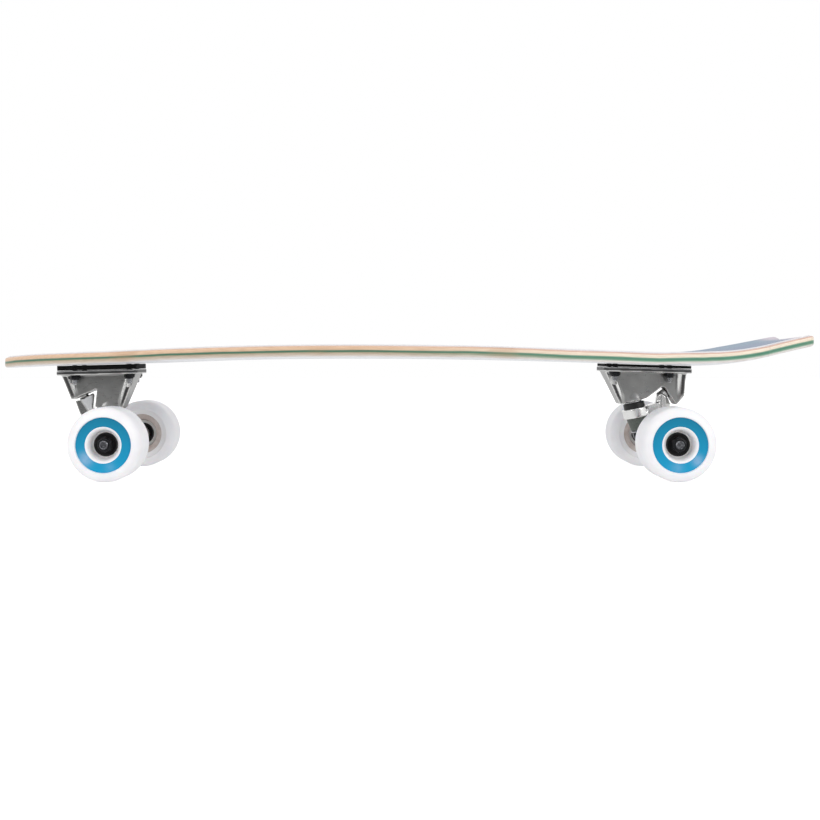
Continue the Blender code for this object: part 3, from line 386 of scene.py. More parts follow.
def finish_of(name, **settings):
    """A new material with these settings all over, its node tree, its shader and the place on the object."""
    material = bpy.data.materials.new(name)
    material.use_nodes = True
    tree = material.node_tree
    shader = tree.nodes["Principled BSDF"]
    for key, value in settings.items():
        shader.inputs[key.replace("_", " ")].default_value = value
    return material, tree, shader, add(tree, "TexCoord").outputs["Object"]


def feed(tree, shader, colour, relief, depth, gloss=None):
    """Link a finish's colour, its relief of this depth in metres, and its roughness."""
    tree.links.new(output_of(colour), shader.inputs["Base Color"])
    bump = add(tree, "Bump", Height=relief, Distance=depth, Strength=1.0)
    tree.links.new(bump.outputs["Normal"], shader.inputs["Normal"])
    if gloss:
        tree.links.new(output_of(gloss), shader.inputs["Roughness"])


def maple_plies():
    """Pressed maple: warm edge grain with one ply dyed green, sanded and lacquered to a satin, with a painted
    highlight along its rounded top edge.
    """
    material, tree, shader, place = finish_of("pressed_maple_plies", Roughness=0.45, Coat_Weight=0.2,
                                              Coat_Roughness=0.25)
    # The plies wander by a few tenths of a millimetre along the edge
    wander = spread(tree, noise(tree, place, 11.0, 2.0), 0.3, 0.7, -0.035, 0.035)
    height = add(tree, "Math", {"operation": "ADD"}, _0=share_of(tree, "ply"), _1=wander)
    # The last stops, pale and pinkish at the top of the thickness, are a painted highlight on the rounded top
    # edge
    front = tint(tree, height, (0.00, "#EAE6E3"), (0.10, "#DAD1C8"), (0.17, "#CDBFAE"), (0.33, "#BAA993"),
                 (0.39, "#848C70"), (0.44, "#4A7860"), (0.51, "#417059"), (0.57, "#82937A"),
                 (0.62, "#DDBB9D"), (0.86, "#E8C4A4"), (0.93, "#DEB8A0"), (1.00, "#E9D9CE"))
    rear = tint(tree, height, (0.00, "#EFEAE9"), (0.14, "#E0DDD8"), (0.19, "#ABBFAC"), (0.26, "#6A9C84"),
                (0.38, "#45846B"), (0.48, "#5F957E"), (0.54, "#A5B9A2"), (0.58, "#F3E4CE"),
                (0.80, "#F8E9D8"), (0.86, "#DDB29C"), (0.92, "#DDBDB2"), (1.00, "#E4DCE0"))
    x = add(tree, "SeparateXYZ", Vector=place).outputs["X"]
    plies = mixed(tree, spread(tree, x, -0.05, 0.24, kind="SMOOTHSTEP"), front, rear)
    # Maple's grain: streaks some 14 mm long and 0.7 mm high along the plies
    grain = noise(tree, place, 1.0, 4.0, (70, 500, 1500))
    tone = tint(tree, grain, (0.3, "#D8CDC3"), (0.6, "#FFFFFF"))
    grained = mixed(tree, 0.5, plies, tone, "MULTIPLY")
    # Browner places where the dye and glue bled, some 30 mm long
    bleed = spread(tree, noise(tree, place, 17.0, 1.0), 0.58, 0.75, 0.0, 0.4)
    feed(tree, shader, mixed(tree, bleed, grained, "#AF8D6A"), grain, 0.00003)
    return material


def grip_film():
    """Printed grip film: fine mineral grit under matt lavender ink that pales toward the tips."""
    material, tree, shader, place = finish_of("lavender_grip_film", Roughness=0.85)
    ink = tint(tree, noise(tree, place, 9.0, 3.0), (0.35, "#A7AFC3"), (0.65, "#A8B9C8"))
    x = add(tree, "SeparateXYZ", Vector=place).outputs["X"]
    ink = mixed(tree, spread(tree, x, 0.372, 0.39, kind="SMOOTHSTEP"), ink, "#E3DAE2")
    # Grit of 0.1 mm, drawn at 0.6 mm so that it shows
    grit = noise(tree, place, 1700.0, 2.0)
    speckle = tint(tree, grit, (0.35, "#CFCFD6"), (0.6, "#FFFFFF"))
    feed(tree, shader, mixed(tree, 0.6, ink, speckle, "MULTIPLY"), grit, 0.00015)
    return material


def white_urethane():
    """Poured urethane, turned on a lathe: satin white, faintly clouded, soft to the eye."""
    material, tree, shader, place = finish_of("white_poured_urethane", Roughness=0.42,
                                              Subsurface_Weight=0.1, Subsurface_Scale=0.002)
    colour = tint(tree, noise(tree, place, 55.0, 3.0), (0.3, "#F2F1F4"), (0.7, "#FAF9FB"))
    # Lathe marks run round the wheel, drawn 0.5 mm apart so that they show
    feed(tree, shader, colour, noise(tree, place, 1.0, 1.0, (60, 2000, 60)), 0.000015)
    return material


def printed_ring():
    """Pad-printed ink on the urethane: clear blue gloss, paler where it has worn, painted darker toward the
    top and brighter toward the bottom as painted shade and light.
    """
    material, tree, shader, place = finish_of("blue_printed_ink", Roughness=0.4, Specular_IOR_Level=0.25)
    # Painted shade and light: the ink darkens toward the top of the wheel and brightens toward the bottom
    height = spread(tree, add(tree, "SeparateXYZ", Vector=place).outputs["Z"], 0.009, 0.061)
    ink = tint(tree, height, (0.0, "#0A9CCB"), (1.0, "#067B9E"))
    fine = noise(tree, place, 300.0, 4.0)
    worn = add(tree, "Math", {"operation": "MULTIPLY"}, _0=share_of(tree, "wear"),
               _1=spread(tree, fine, 0.3, 0.6, 0.7))
    feed(tree, shader, mixed(tree, worn, ink, "#B9CBE8"), fine, 0.000005)
    return material


def bare_metal(name, dark, light, rough, depth, scale, stretch=(1, 1, 1)):
    """Bare metal: clouds of 20 mm change its tone, a grain of 1 / scale metres its gloss and relief."""
    material, tree, shader, place = finish_of(name, Metallic=1.0)
    grain = noise(tree, place, scale, 3.0, stretch)
    tone = tint(tree, noise(tree, place, 50.0, 3.0), (0.35, dark), (0.65, light))
    gloss = spread(tree, grain, 0.3, 0.7, rough * 0.8, rough * 1.25)
    # Outward edges get a painted highlight, bright and smoother, and a casting's rims get painted shade, dark
    # and duller
    for painted_light_mark, colour, worn in (("rim", "#545454", 0.45), ("edge", "#F2F2F0", rough * 0.6)):
        share = share_of(tree, painted_light_mark)
        tone = mixed(tree, share, tone, colour)
        gloss = add(tree, "Mix", {"data_type": "FLOAT"}, _0=share, _2=gloss, _3=worn)
    feed(tree, shader, tone, grain, depth, gloss)
    return material


def plain_finish(name, dark, light, depth, scale, detail=3.0, stretch=None, rough=None, **settings):
    """A surface whose grain of 1 / scale metres changes its tone and relief, and its gloss from rough."""
    material, tree, shader, place = finish_of(name, **settings)
    grain = noise(tree, place, scale, detail, stretch)
    gloss = spread(tree, grain, 0.3, 0.7, rough * 0.85, rough * 1.15) if rough else None
    feed(tree, shader, tint(tree, grain, (0.3, dark), (0.7, light)), grain, depth, gloss)
    return material


PLIES = maple_plies()
FILM = grip_film()
URETHANE = white_urethane()
RING_INK = printed_ring()
# Painted veneer: an even pale coat over pores that run along the board, drawn at 2 mm so that they show
UNDERSIDE = plain_finish("pale_painted_veneer", "#E6E8EC", "#F4F5F8", 0.00002, 1.0, 5.0, (12, 480, 480),
                         Roughness=0.40, Coat_Weight=0.25, Coat_Roughness=0.2)
# Moulded nylon: warm off-white with a mould texture of 0.5 mm and a low sheen
NYLON = plain_finish("moulded_nylon_hub", "#F1F0EF", "#F7F6F5", 0.00001, 2000, 2.0, Roughness=0.45,
                     Subsurface_Weight=0.05, Subsurface_Scale=0.001)
# A wheel's back within 21 mm of its axle: rough from its mould, a warm grey beige
BACKING = plain_finish("stained_wheel_back", "#B9A8A1", "#CFC6C1", 0.00003, 160, 4.0, Roughness=0.6)
# Sand-cast aluminium, tumbled: mid grey, a soft broad sheen and marks 0.8 mm wide, drawn out lengthwise
CAST = bare_metal("tumbled_cast_aluminium", "#9C9C9B", "#ACACAB", 0.32, 0.00004, 1300, (0.12, 1, 1))
# Cast aluminium, wheel-polished: bright with long soft reflections and faint lines
POLISHED = bare_metal("polished_cast_aluminium", "#DEDEDD", "#ECECEB", 0.14, 0.000008, 900, (1, 3, 1))
# Zinc-plated steel: bright, slightly cool, finely drawn
ZINC = bare_metal("bright_zinc_steel", "#B4B5B7", "#C4C5C7", 0.24, 0.00001, 2200)
# Black oxide steel: deep grey-black with an oily satin
OXIDE = plain_finish("black_oxide_steel", "#1A1B1D", "#27282B", 0.000008, 1500, rough=0.34, Metallic=0.7)
# Axle ends: black oxide with lighter spots of about 2 mm, painted glints
GLINT_SPOTTED_OXIDE = plain_finish("rubbed_black_oxide", "#35363A", "#85868A", 0.00001, 500, rough=0.25,
                            Metallic=0.9)
# Moulded rubber: matt black with a fine grain
RUBBER = plain_finish("moulded_black_rubber", "#070708", "#0E0E0F", 0.00004, 1200, rough=0.8,
                      Specular_IOR_Level=0.2)
# Cast urethane bushings: satin, in tones that change over 2 mm
BLACK_BUSHING = plain_finish("black_cast_urethane", "#0D0D0E", "#1A1A1B", 0.00002, 600, rough=0.42)
GREY_BUSHING = plain_finish("grey_cast_urethane", "#4C514C", "#5F655F", 0.00002, 600, rough=0.45)
# Bearing seal: black moulded rubber with a satin sheen
SEAL = plain_finish("black_bearing_seal", "#0E0E0F", "#1B1B1C", 0.00002, 1500, rough=0.4)


# Camera, light and floor

WHITE = (1, 1, 1, 1)


def by_ray(tree, plain, mirrored, seen):
    """Three shaders in one: for plain light, for what metal mirrors and for what the camera sees."""
    ray = add(tree, "LightPath").outputs
    direct = add(tree, "Math", {"operation": "MAXIMUM"}, _0=ray["Is Camera Ray"],
                 _1=ray["Is Transmission Ray"])
    shader = add(tree, "MixShader", _0=ray["Is Glossy Ray"], _1=plain, _2=mirrored)
    return add(tree, "MixShader", _0=direct, _1=shader, _2=seen)


def set_camera():
    """The camera, level beside the board."""
    camera = bpy.data.objects.new("camera", bpy.data.cameras.new("camera"))
    bpy.context.scene.collection.objects.link(camera)
    camera.location = (-0.0025, -1.385, 0.1166)
    camera.rotation_euler = (pi / 2, 0, 0)
    camera.data.lens = 60.15
    camera.data.sensor_width = 36
    camera.data.shift_x = 0.0146
    camera.data.shift_y = -0.0646
    camera.data.clip_start = 0.01
    bpy.context.scene.camera = camera


def set_lamps():
    """Soft lamps at both sides of the camera and one above the board."""
    for name, place, size, power in (("left_softbox", (-1.3, -1.5, 1.0), 1.1, 7.5),
                                     ("right_softbox", (1.4, -1.4, 0.9), 1.1, 7.5),
                                     ("top_softbox", (0.0, 0.1, 1.9), 1.6, 3)):
        lamp = bpy.data.lights.new(name, "AREA")
        lamp.size = size
        lamp.energy = power
        obj = bpy.data.objects.new(name, lamp)
        obj.location = place
        aim = Vector((0, 0, 0.07)) - Vector(place)
        obj.rotation_euler = aim.to_track_quat("-Z", "Y").to_euler()
        bpy.context.scene.collection.objects.link(obj)


def set_room():
    """The white room: its even light, what metal mirrors of it, and what the camera sees of it."""
    world = bpy.data.worlds.new("white_room")
    bpy.context.scene.world = world
    world.use_nodes = True
    tree = world.node_tree
    tree.nodes.clear()
    # Metal mirrors it white at the sides, behind and overhead, and grey toward the viewer
    aim = add(tree, "TexCoord").outputs["Generated"]
    toward = add(tree, "VectorMath", {"operation": "DOT_PRODUCT"}, _0=aim, _1=(0.0, 0.75, 0.66))
    room = tint(tree, spread(tree, toward.outputs["Value"], -1.0, 1.0), (0.0, "#B0B0B0"), (0.36, "#C8C8C8"),
                (0.60, "#F6F6F6"), (1.0, "#FFFFFF"))
    sideways = add(tree, "Math", {"operation": "ABSOLUTE"}, _0=add(tree, "SeparateXYZ", Vector=aim))
    room = mixed(tree, spread(tree, sideways, 0.45, 0.75, kind="SMOOTHSTEP"), room, "#FFFFFF")
    # A dark board stands at the viewer's left, and draws dark facets on the polished metal
    dark = add(tree, "VectorMath", {"operation": "DOT_PRODUCT"}, _0=aim, _1=(-0.42, -0.907, 0.0))
    dark = spread(tree, dark.outputs["Value"], 0.93, 0.985, 0.0, 0.85, "SMOOTHSTEP")
    mirrored = add(tree, "Background", Color=mixed(tree, dark, room, "#303030"), Strength=1.0)
    even = add(tree, "Background", Color=WHITE, Strength=0.74)
    behind = add(tree, "Background", Color=WHITE, Strength=1.0)
    add(tree, "OutputWorld", Surface=by_ray(tree, even, mirrored, behind))


def set_floor():
    """A matt white floor: white where the light falls, a soft grey under the board."""
    deselect()
    bpy.ops.mesh.primitive_circle_add(vertices=64, radius=6, fill_type="NGON")
    floor = bpy.context.object
    floor.name = "floor"
    floor.data.name = "floor"
    material, tree, shader, place = finish_of("matt_white_floor", Roughness=0.9, Specular_IOR_Level=0.1)
    shader.inputs["Base Color"].default_value = linear("#E8E8E8")
    glow = add(tree, "Emission", Color=WHITE, Strength=0.72)
    both = add(tree, "AddShader", _0=shader.outputs["BSDF"], _1=glow)
    # Metal mirrors the floor white near the object, greyer toward the viewer and dark at the viewer's left
    axes = add(tree, "SeparateXYZ", Vector=place).outputs
    close = spread(tree, axes["Y"], -0.75, -0.15, kind="SMOOTHSTEP")
    far = spread(tree, axes["X"], -0.5, -0.2, 0.12, 0.45, "SMOOTHSTEP")
    level = add(tree, "Mix", {"data_type": "FLOAT"}, _0=close, _2=far, _3=0.85)
    mirrored = add(tree, "Emission", Color=WHITE, Strength=level)
    # The floor also glows a little for light that bounces off it, a painted fill light on the undersides
    # above it
    fill = add(tree, "AddShader", _0=shader.outputs["BSDF"],
               _1=add(tree, "Emission", Color=WHITE, Strength=0.20))
    whole = by_ray(tree, fill, mirrored, both)
    tree.links.new(output_of(whole), tree.nodes["Material Output"].inputs["Surface"])
    floor.data.materials.append(material)


bpy.context.scene.view_settings.view_transform = "Standard"
set_camera()
set_lamps()
set_room()
set_floor()


# Deck

NOSE_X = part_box("deck")[0][0]
TAIL_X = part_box("deck")[1][0]
THICKNESS = 10.3 * MM
EDGE_ROUND = 2.8 * MM
FILM_THICKNESS = 0.8 * MM
FILM_INSET = 3.2 * MM
FILM_LIFT = 0.02 * MM
SEAT_GAP = 0.3 * MM
FULL_HALF = 121.0 * MM
HIP_HALF = 93.5 * MM
TAIL_HALF = 71.5 * MM
WIDEST_X = NOSE_X + 360 * MM
HIP_X = TAIL_X - 50.5 * MM
TIP_ROUND = 4.5 * MM
TAIL_SIDE_X = TAIL_X - TIP_ROUND
TAIL_NOTCH = 12 * MM
TAIL_BOW = 55 * MM
TIP_SHARE = 0.9
NOSE_CAP = 0.33
NOSE_SPLIT = NOSE_X + (WIDEST_X - NOSE_X) * (1 - sqrt(1 - NOSE_CAP ** 2))
GATHER = 1.15
FLAT_HALF = 29 * MM

# The trucks' places along the board: axles, and the middles of the bolt patterns
NOSE_TO_AXLE = 122.8 * MM
WHEELBASE = 534 * MM
AXLES = {"front": NOSE_X + NOSE_TO_AXLE, "rear": NOSE_X + NOSE_TO_AXLE + WHEELBASE}
FRONT_BOLTS = AXLES["front"] - 22.15 * MM
REAR_BOLTS = AXLES["rear"] - 17.8 * MM
BOLT_SPACING = (26.9875 * MM, 20.6375 * MM)
BOLT_PLACES = [(sx * BOLT_SPACING[0], sy * BOLT_SPACING[1])
               for sx, sy in ((-1, -1), (1, -1), (1, 1), (-1, 1))]
FRONT_SEAT = (FRONT_BOLTS - 47.6 * MM, FRONT_BOLTS + 37 * MM)
REAR_SEAT = REAR_BOLTS - 42.1 * MM
KICK = REAR_BOLTS + 39.9875 * MM
FRONT_SLOPE = 1.5
REAR_SLOPE = -1.6
AXLE_Z = 35 * MM
FRONT_RISE = 69.05 * MM
FRONT_PAD = 5.1 * MM
REAR_PAD = 3.0 * MM

# Slope in degrees at places along the deck, and the rise of its sides over its middle in millimetres
SLOPES = ((NOSE_X, 2.6), (FRONT_SEAT[0] - 20 * MM, 2.6), (FRONT_SEAT[0], FRONT_SLOPE),
          (FRONT_SEAT[1], FRONT_SLOPE), (FRONT_SEAT[1] + 33 * MM, 2.4), (NOSE_X + 345.5 * MM, 0.0),
          (REAR_SEAT - 16.5 * MM, -1.9), (REAR_SEAT, REAR_SLOPE), (KICK, REAR_SLOPE),
          (KICK + 62 * MM, 12.25), (TAIL_X, 12.25))
CONCAVE = ((NOSE_X, 0.2), (FRONT_BOLTS, 1.3), (FRONT_SEAT[1] + 33 * MM, 2.2), (REAR_SEAT - 132 * MM, 2.2),
           (REAR_BOLTS, 0.5), (KICK + 10.3 * MM, 2.7), (TAIL_X, 1.5))


def between(points, x):
    """The value at x on straight runs between (x, value) points."""
    for (x0, v0), (x1, v1) in zip(points, points[1:]):
        if x <= x1:
            return v0 + (v1 - v0) * (x - x0) / (x1 - x0)
    return points[-1][1]


GRADES = [(x, tan(radians(angle))) for x, angle in SLOPES]


def climb(x):
    """Height gained along the deck from its nose to x."""
    height = 0.0
    for (x0, g0), (x1, g1) in zip(GRADES, GRADES[1:]):
        run = min(x, x1) - x0
        if run <= 0:
            break
        height += g0 * run + (g1 - g0) * run * run / (2 * (x1 - x0))
    return height


DATUM = AXLE_Z + FRONT_RISE + FRONT_PAD - climb(FRONT_BOLTS)
REAR_RISE = DATUM + climb(REAR_BOLTS) - REAR_PAD - AXLE_Z


def half_width(x):
    """Half the deck's width: an ellipse ahead, a fuller curve behind, then in to the tips."""
    if x < WIDEST_X:
        return FULL_HALF * sqrt(max(0.0, 1 - ((WIDEST_X - x) / (WIDEST_X - NOSE_X)) ** 2))
    side = FULL_HALF - (FULL_HALF - HIP_HALF) * ((x - WIDEST_X) / (HIP_X - WIDEST_X)) ** 2.2
    if x > HIP_X:
        side -= (side - TAIL_HALF) * min(1.0, (x - HIP_X) / (TAIL_SIDE_X - HIP_X)) ** 0.8
    return side


def underside(x, y):
    """Height of the deck's underside."""
    share = max(0.0, abs(y) - FLAT_HALF) / max(FLAT_HALF / 3, half_width(x) - FLAT_HALF)
    return DATUM + climb(x) + between(CONCAVE, x) * MM * min(1.2, share) ** 2


def topside(x, y):
    """Height of the deck's top."""
    return underside(x, y) + THICKNESS * sqrt(1 + between(GRADES, x) ** 2)


def film_foot(x, y):
    """Underside of the film on the deck's top."""
    return topside(x, y) + FILM_LIFT


def film_face(x, y):
    """Top of the film."""
    return topside(x, y) + SEAT_GAP + FILM_THICKNESS


def row_shift(x, share):
    """How far a cross row bows ahead at the nose, or behind at the tips."""
    reach = 5 * (NOSE_SPLIT - NOSE_X)
    shift = 0.0
    if x < NOSE_SPLIT + reach:
        fade = 1 - (x - NOSE_SPLIT) / reach
        arc = (1 - sqrt(1 - (NOSE_CAP * share) ** 2)) / (1 - sqrt(1 - NOSE_CAP ** 2))
        shift -= (NOSE_SPLIT - NOSE_X) * (1 - arc) * fade ** 1.5
    if x > TAIL_SIDE_X - TAIL_BOW:
        fade = 1 - (TAIL_SIDE_X - x) / TAIL_BOW
        if share < TIP_SHARE:
            bow = TIP_ROUND - TAIL_NOTCH * (1 - share / TIP_SHARE) ** 1.3
        else:
            bow = TIP_ROUND * (1 - ((share - TIP_SHARE) / (1 - TIP_SHARE)) ** 2)
        shift += bow * fade ** 1.5
    return shift


def plan_place(along_share, across, inset):
    """The place on the deck's plan at these shares of its length and half width."""
    x = NOSE_SPLIT + (TAIL_SIDE_X - NOSE_SPLIT) * along_share
    middle_scale = 1 - inset / ((TAIL_X - NOSE_X) / 2)
    return (x + row_shift(x, abs(across))) * middle_scale, across * (half_width(x) - inset)


def skin(name, low, high, inset, edge_round):
    """A grid laid over the deck's plan, extruded to its thickness, its rim turned to a half round."""
    steps = 6
    deselect()
    bpy.ops.mesh.primitive_grid_add(x_subdivisions=210, y_subdivisions=48, size=2)
    obj = bpy.context.object
    obj.name = name
    mesh = obj.data
    shares = [mesh.attributes.new(key, "FLOAT", "POINT") for key in ("lengthwise", "crosswise")]
    for vertex in mesh.vertices:
        # Columns gather toward the sides, where the outline turns most
        place = (vertex.co.x + 1) / 2, sin(vertex.co.y * GATHER) / sin(GATHER)
        for share, value in zip(shares, place):
            share.data[vertex.index].value = value
        x, y = plan_place(*place, inset + edge_round)
        vertex.co = (x, y, 0)
    bpy.ops.object.mode_set(mode="EDIT")
    bpy.ops.mesh.select_all(action="SELECT")
    bpy.ops.mesh.extrude_region_move(TRANSFORM_OT_translate={"value": (0, 0, 1)})
    bpy.ops.mesh.select_all(action="DESELECT")
    bpy.ops.object.mode_set(mode="OBJECT")
    if edge_round:
        for edge in mesh.edges:
            a, b = edge.vertices
            edge.select = abs(mesh.vertices[a].co.z - mesh.vertices[b].co.z) > 0.5
        bpy.ops.object.mode_set(mode="EDIT")
        bpy.ops.mesh.select_mode(type="EDGE")
        bpy.ops.mesh.subdivide(number_cuts=2 * steps)
        bpy.ops.object.mode_set(mode="OBJECT")
    lengthwise, crosswise = (mesh.attributes[key].data for key in ("lengthwise", "crosswise"))
    for vertex in mesh.vertices:
        level = vertex.co.z * (2 * steps + 1)
        upper = level > steps + 0.5
        angle = pi / 2 * min(level, 2 * steps + 1 - level) / steps
        x, y = plan_place(lengthwise[vertex.index].value, crosswise[vertex.index].value,
                          inset + edge_round * (1 - sin(angle)))
        rise = edge_round * (1 - cos(angle))
        vertex.co = (x, y, high(x, y) - rise if upper else low(x, y) + rise)
    return clean(obj)


def seat_of(bolts, slope):
    """Frame on a truck's bolt pattern in the world: on the deck's underside, square to it."""
    return Matrix.Translation((bolts, 0, DATUM + climb(bolts))) @ Matrix.Rotation(-radians(slope), 4, "Y")


BOLT_TOP = THICKNESS + SEAT_GAP + FILM_THICKNESS - 0.1 * MM
BOLT_RADIUS = 2.4 * MM
HEAD_RADIUS = 4.6 * MM
HEAD_DEPTH = 2.7 * MM
PLAY = 0.5 * MM


def bolt_holes():
    """Cutters for the eight bolts, countersunk from the top."""
    shank, head, deep = BOLT_RADIUS + PLAY, HEAD_RADIUS + PLAY, -30 * MM
    section = [(0, deep), (shank, deep), (shank, -HEAD_DEPTH), (head, 0), (head, HEAD_DEPTH), (0, HEAD_DEPTH)]
    places = [seat_of(bolts, slope) @ Matrix.Translation((x, y, BOLT_TOP))
              for bolts, slope in ((FRONT_BOLTS, FRONT_SLOPE), (REAR_BOLTS, REAR_SLOPE))
              for x, y in BOLT_PLACES]
    return joined("rooms", [turned("room", section, 32, place) for place in places])


def make_deck():
    """The laminated deck, its edge marked with the share of its thickness, and the film on it."""
    deck = boolean(skin("deck_board", underside, topside, 0.0, EDGE_ROUND), bolt_holes(), "DIFFERENCE")
    share = deck.data.attributes.new("ply", "FLOAT", "POINT")
    for vertex in deck.data.vertices:
        x, y, z = vertex.co
        share.data[vertex.index].value = ramp(z, underside(x, y), topside(x, y))
    dress(deck, "pressed_deck", "board", PLIES, "maple_laminate", "deck", angle=50)
    coat(deck, UNDERSIDE, lambda face: face.normal.z < -0.94)
    film = boolean(skin("grip", film_foot, film_face, FILM_INSET, 0.0), bolt_holes(), "DIFFERENCE")
    dress(film, "printed_grip", "board", FILM, "grip_film", "grip_sheet", angle=50)
    # The film's cut edge shows its pale backing
    coat(film, UNDERSIDE, lambda face: abs(face.normal.z) < 0.5)


make_deck()


# Wheels and axles

TRACK_HALF = 94.5 * MM
WHEEL_RADIUS = 35 * MM
WHEEL_HALF = 25.5 * MM
LIP_ROUND = 9 * MM
FACE = WHEEL_HALF - 1.8 * MM
RING_OUTER = 25.8 * MM
RING_INNER = 16.7 * MM
BACK_RADIUS = 21 * MM
CORE_RADIUS = 14.2 * MM
BEARING_RADIUS = 11 * MM
BEARING_WIDTH = 7 * MM
SPACER_HALF = 5 * MM
SPAN = SPACER_HALF + BEARING_WIDTH
INNER_RACE = 5.7 * MM
AXLE_RADIUS = 4 * MM
NUT_HEIGHT = 7.5 * MM
NUT_FLATS = 12.7 * MM
WASHER = 0.9 * MM
AXLE_PAST_NUT = 2.5 * MM
AXLE_WASHER = 5.8 * MM
SPACER = 5.4 * MM
EASE = 0.15 * MM
AXLE_PITCH = 1.05 * MM
THREAD_POINT = 0.72
HANGER_END = TRACK_HALF - BEARING_WIDTH - SPACER_HALF - WASHER - 2 * SEAT_GAP

# Where each ring's ink has worn: degrees round the axle, share of it gone, and reach in millimetres
WORN = {"front_left": ((218, 0.55, 6), (287, 0.15, 5)), "rear_left": ((318, 0.5, 5), (262, 0.2, 6)),
        "front_right": ((75, 0.4, 6), (150, 0.3, 5)), "rear_right": ((20, 0.45, 5), (110, 0.2, 6))}


def thread(radius, low, high, pitch):
    """Section of a thread from low to high: a ridge each pitch."""
    section = []
    count = int((high - low) / pitch)
    for turn in range(count):
        base = low + turn * pitch
        section += [(radius - 0.55 * pitch, base), (radius, base + 0.4 * pitch), (radius, base + 0.6 * pitch)]
    return section + [(radius - 0.55 * pitch, low + count * pitch)]


def lip(side):
    """Section of the lip on the outer side, 1, or the inner one, -1: from the tread round to the face."""
    middle = WHEEL_RADIUS - LIP_ROUND
    section = []
    for step in range(11):
        turn = radians(88 * step / 10)
        height = WHEEL_HALF - LIP_ROUND + LIP_ROUND * sin(turn)
        section.append((middle + LIP_ROUND * cos(turn), side * height))
    # A small radius runs from the lip down to the face
    section += [(RING_OUTER + 0.55 * MM, side * (WHEEL_HALF - 0.15 * MM)),
                (RING_OUTER + 0.2 * MM, side * (WHEEL_HALF - 0.6 * MM)),
                (RING_OUTER + 0.05 * MM, side * (FACE + 0.5 * MM)), (RING_OUTER - 0.1 * MM, side * FACE)]
    return section


def make_tyre():
    """The urethane of a wheel, its outer side toward Z: printed face, dish, lips and tread."""
    bore = CORE_RADIUS + SEAT_GAP
    dish = [(r * MM, FACE) for r in (24.4, 22.4, 20.4, 18.4)]
    dish += [(RING_INNER + 0.3 * MM, FACE), (RING_INNER, FACE - 0.1 * MM),
             (RING_INNER - 0.4 * MM, FACE - 0.3 * MM)]
    dish += [(r * MM, FACE - depth * MM)
             for r, depth in ((15.6, 0.8), (14.9, 1.6), (14.2, 2.9), (13.6, 4.8), (13.0, 7.4))]
    dish += [(12.5 * MM, SPAN + 1.6 * MM), (12.25 * MM, SPAN + 0.5 * MM), (12.3 * MM, SPAN + 0.1 * MM),
             (bore, SPAN + 0.1 * MM), (bore, SPAN)]
    step = [(25 * MM, -FACE + 0.15 * MM), (BACK_RADIUS + 0.6 * MM, -FACE + 1.5 * MM),
            (BACK_RADIUS, -FACE + 2.0 * MM), (BACK_RADIUS - 0.6 * MM, -FACE + 2.1 * MM),
            (RING_INNER - 0.4 * MM, -FACE + 2.3 * MM), (RING_INNER - 1.2 * MM, -FACE + 2.9 * MM),
            (bore + 0.4 * MM, -SPAN - 0.6 * MM), (bore, -SPAN)]
    tread = [(WHEEL_RADIUS, h * MM) for h in (10, 5, 0, -5, -10)]
    section = [*reversed(dish), *reversed(lip(1)), *tread, *lip(-1), *step]
    return turned("tyre", section + section[:1], 128)


def make_core():
    """The nylon hub in the urethane: two bearing seats and the shoulder between them."""
    seat = BEARING_RADIUS + SEAT_GAP
    shoulder = SPACER_HALF - SEAT_GAP
    side = [(CORE_RADIUS, SPAN - 0.3 * MM), (CORE_RADIUS - 0.3 * MM, SPAN), (seat + 0.4 * MM, SPAN),
            (seat, SPAN - 0.4 * MM), (seat, shoulder), (9.2 * MM, shoulder)]
    return turned("core", both_halves(side), 96)


def make_bearing():
    """A sealed bearing: outer race with eased edges, and the seal set in with its pressed groove."""
    half = BEARING_WIDTH / 2
    inner = INNER_RACE + SEAT_GAP
    side = [(inner, half - 0.5 * MM), (6.3 * MM, half - 0.5 * MM), (6.5 * MM, half - 0.75 * MM),
            (6.9 * MM, half - 0.75 * MM), (7.1 * MM, half - 0.45 * MM), (9.2 * MM, half - 0.4 * MM),
            (9.4 * MM, half - 0.15 * MM), (9.6 * MM, half), (10.7 * MM, half),
            (BEARING_RADIUS, half - 0.3 * MM)]
    return turned("bearing", both_halves(side), 96)


def axle_section(low, high):
    """Half of the axle: bare in the hanger, washer, races and spacer clamped on it, then thread."""
    sleeve = HANGER_END + SEAT_GAP
    first = TRACK_HALF - SPACER_HALF - BEARING_WIDTH
    second = TRACK_HALF + SPACER_HALF
    section = [(AXLE_RADIUS, 0.5 * sleeve), (AXLE_RADIUS, sleeve)]
    for radius, start, stop in ((AXLE_WASHER, sleeve, first), (INNER_RACE, first, first + BEARING_WIDTH),
                                (SPACER, first + BEARING_WIDTH, second),
                                (INNER_RACE, second, second + BEARING_WIDTH),
                                (AXLE_WASHER, second + BEARING_WIDTH, low - SEAT_GAP)):
        section += [(radius - EASE, start), (radius, start + EASE), (radius, stop - EASE),
                    (radius - EASE, stop)]
    section.append((AXLE_RADIUS - 0.4 * MM, low - SEAT_GAP))
    section += thread(AXLE_RADIUS, low, high - 0.5 * MM, AXLE_PITCH)
    return section + [(AXLE_RADIUS * THREAD_POINT, high)]


def facing(x, y):
    """World frame on a wheel's middle, its Z away from the board."""
    return along((x, y, AXLE_Z), (0, 1 if y > 0 else -1, 0))


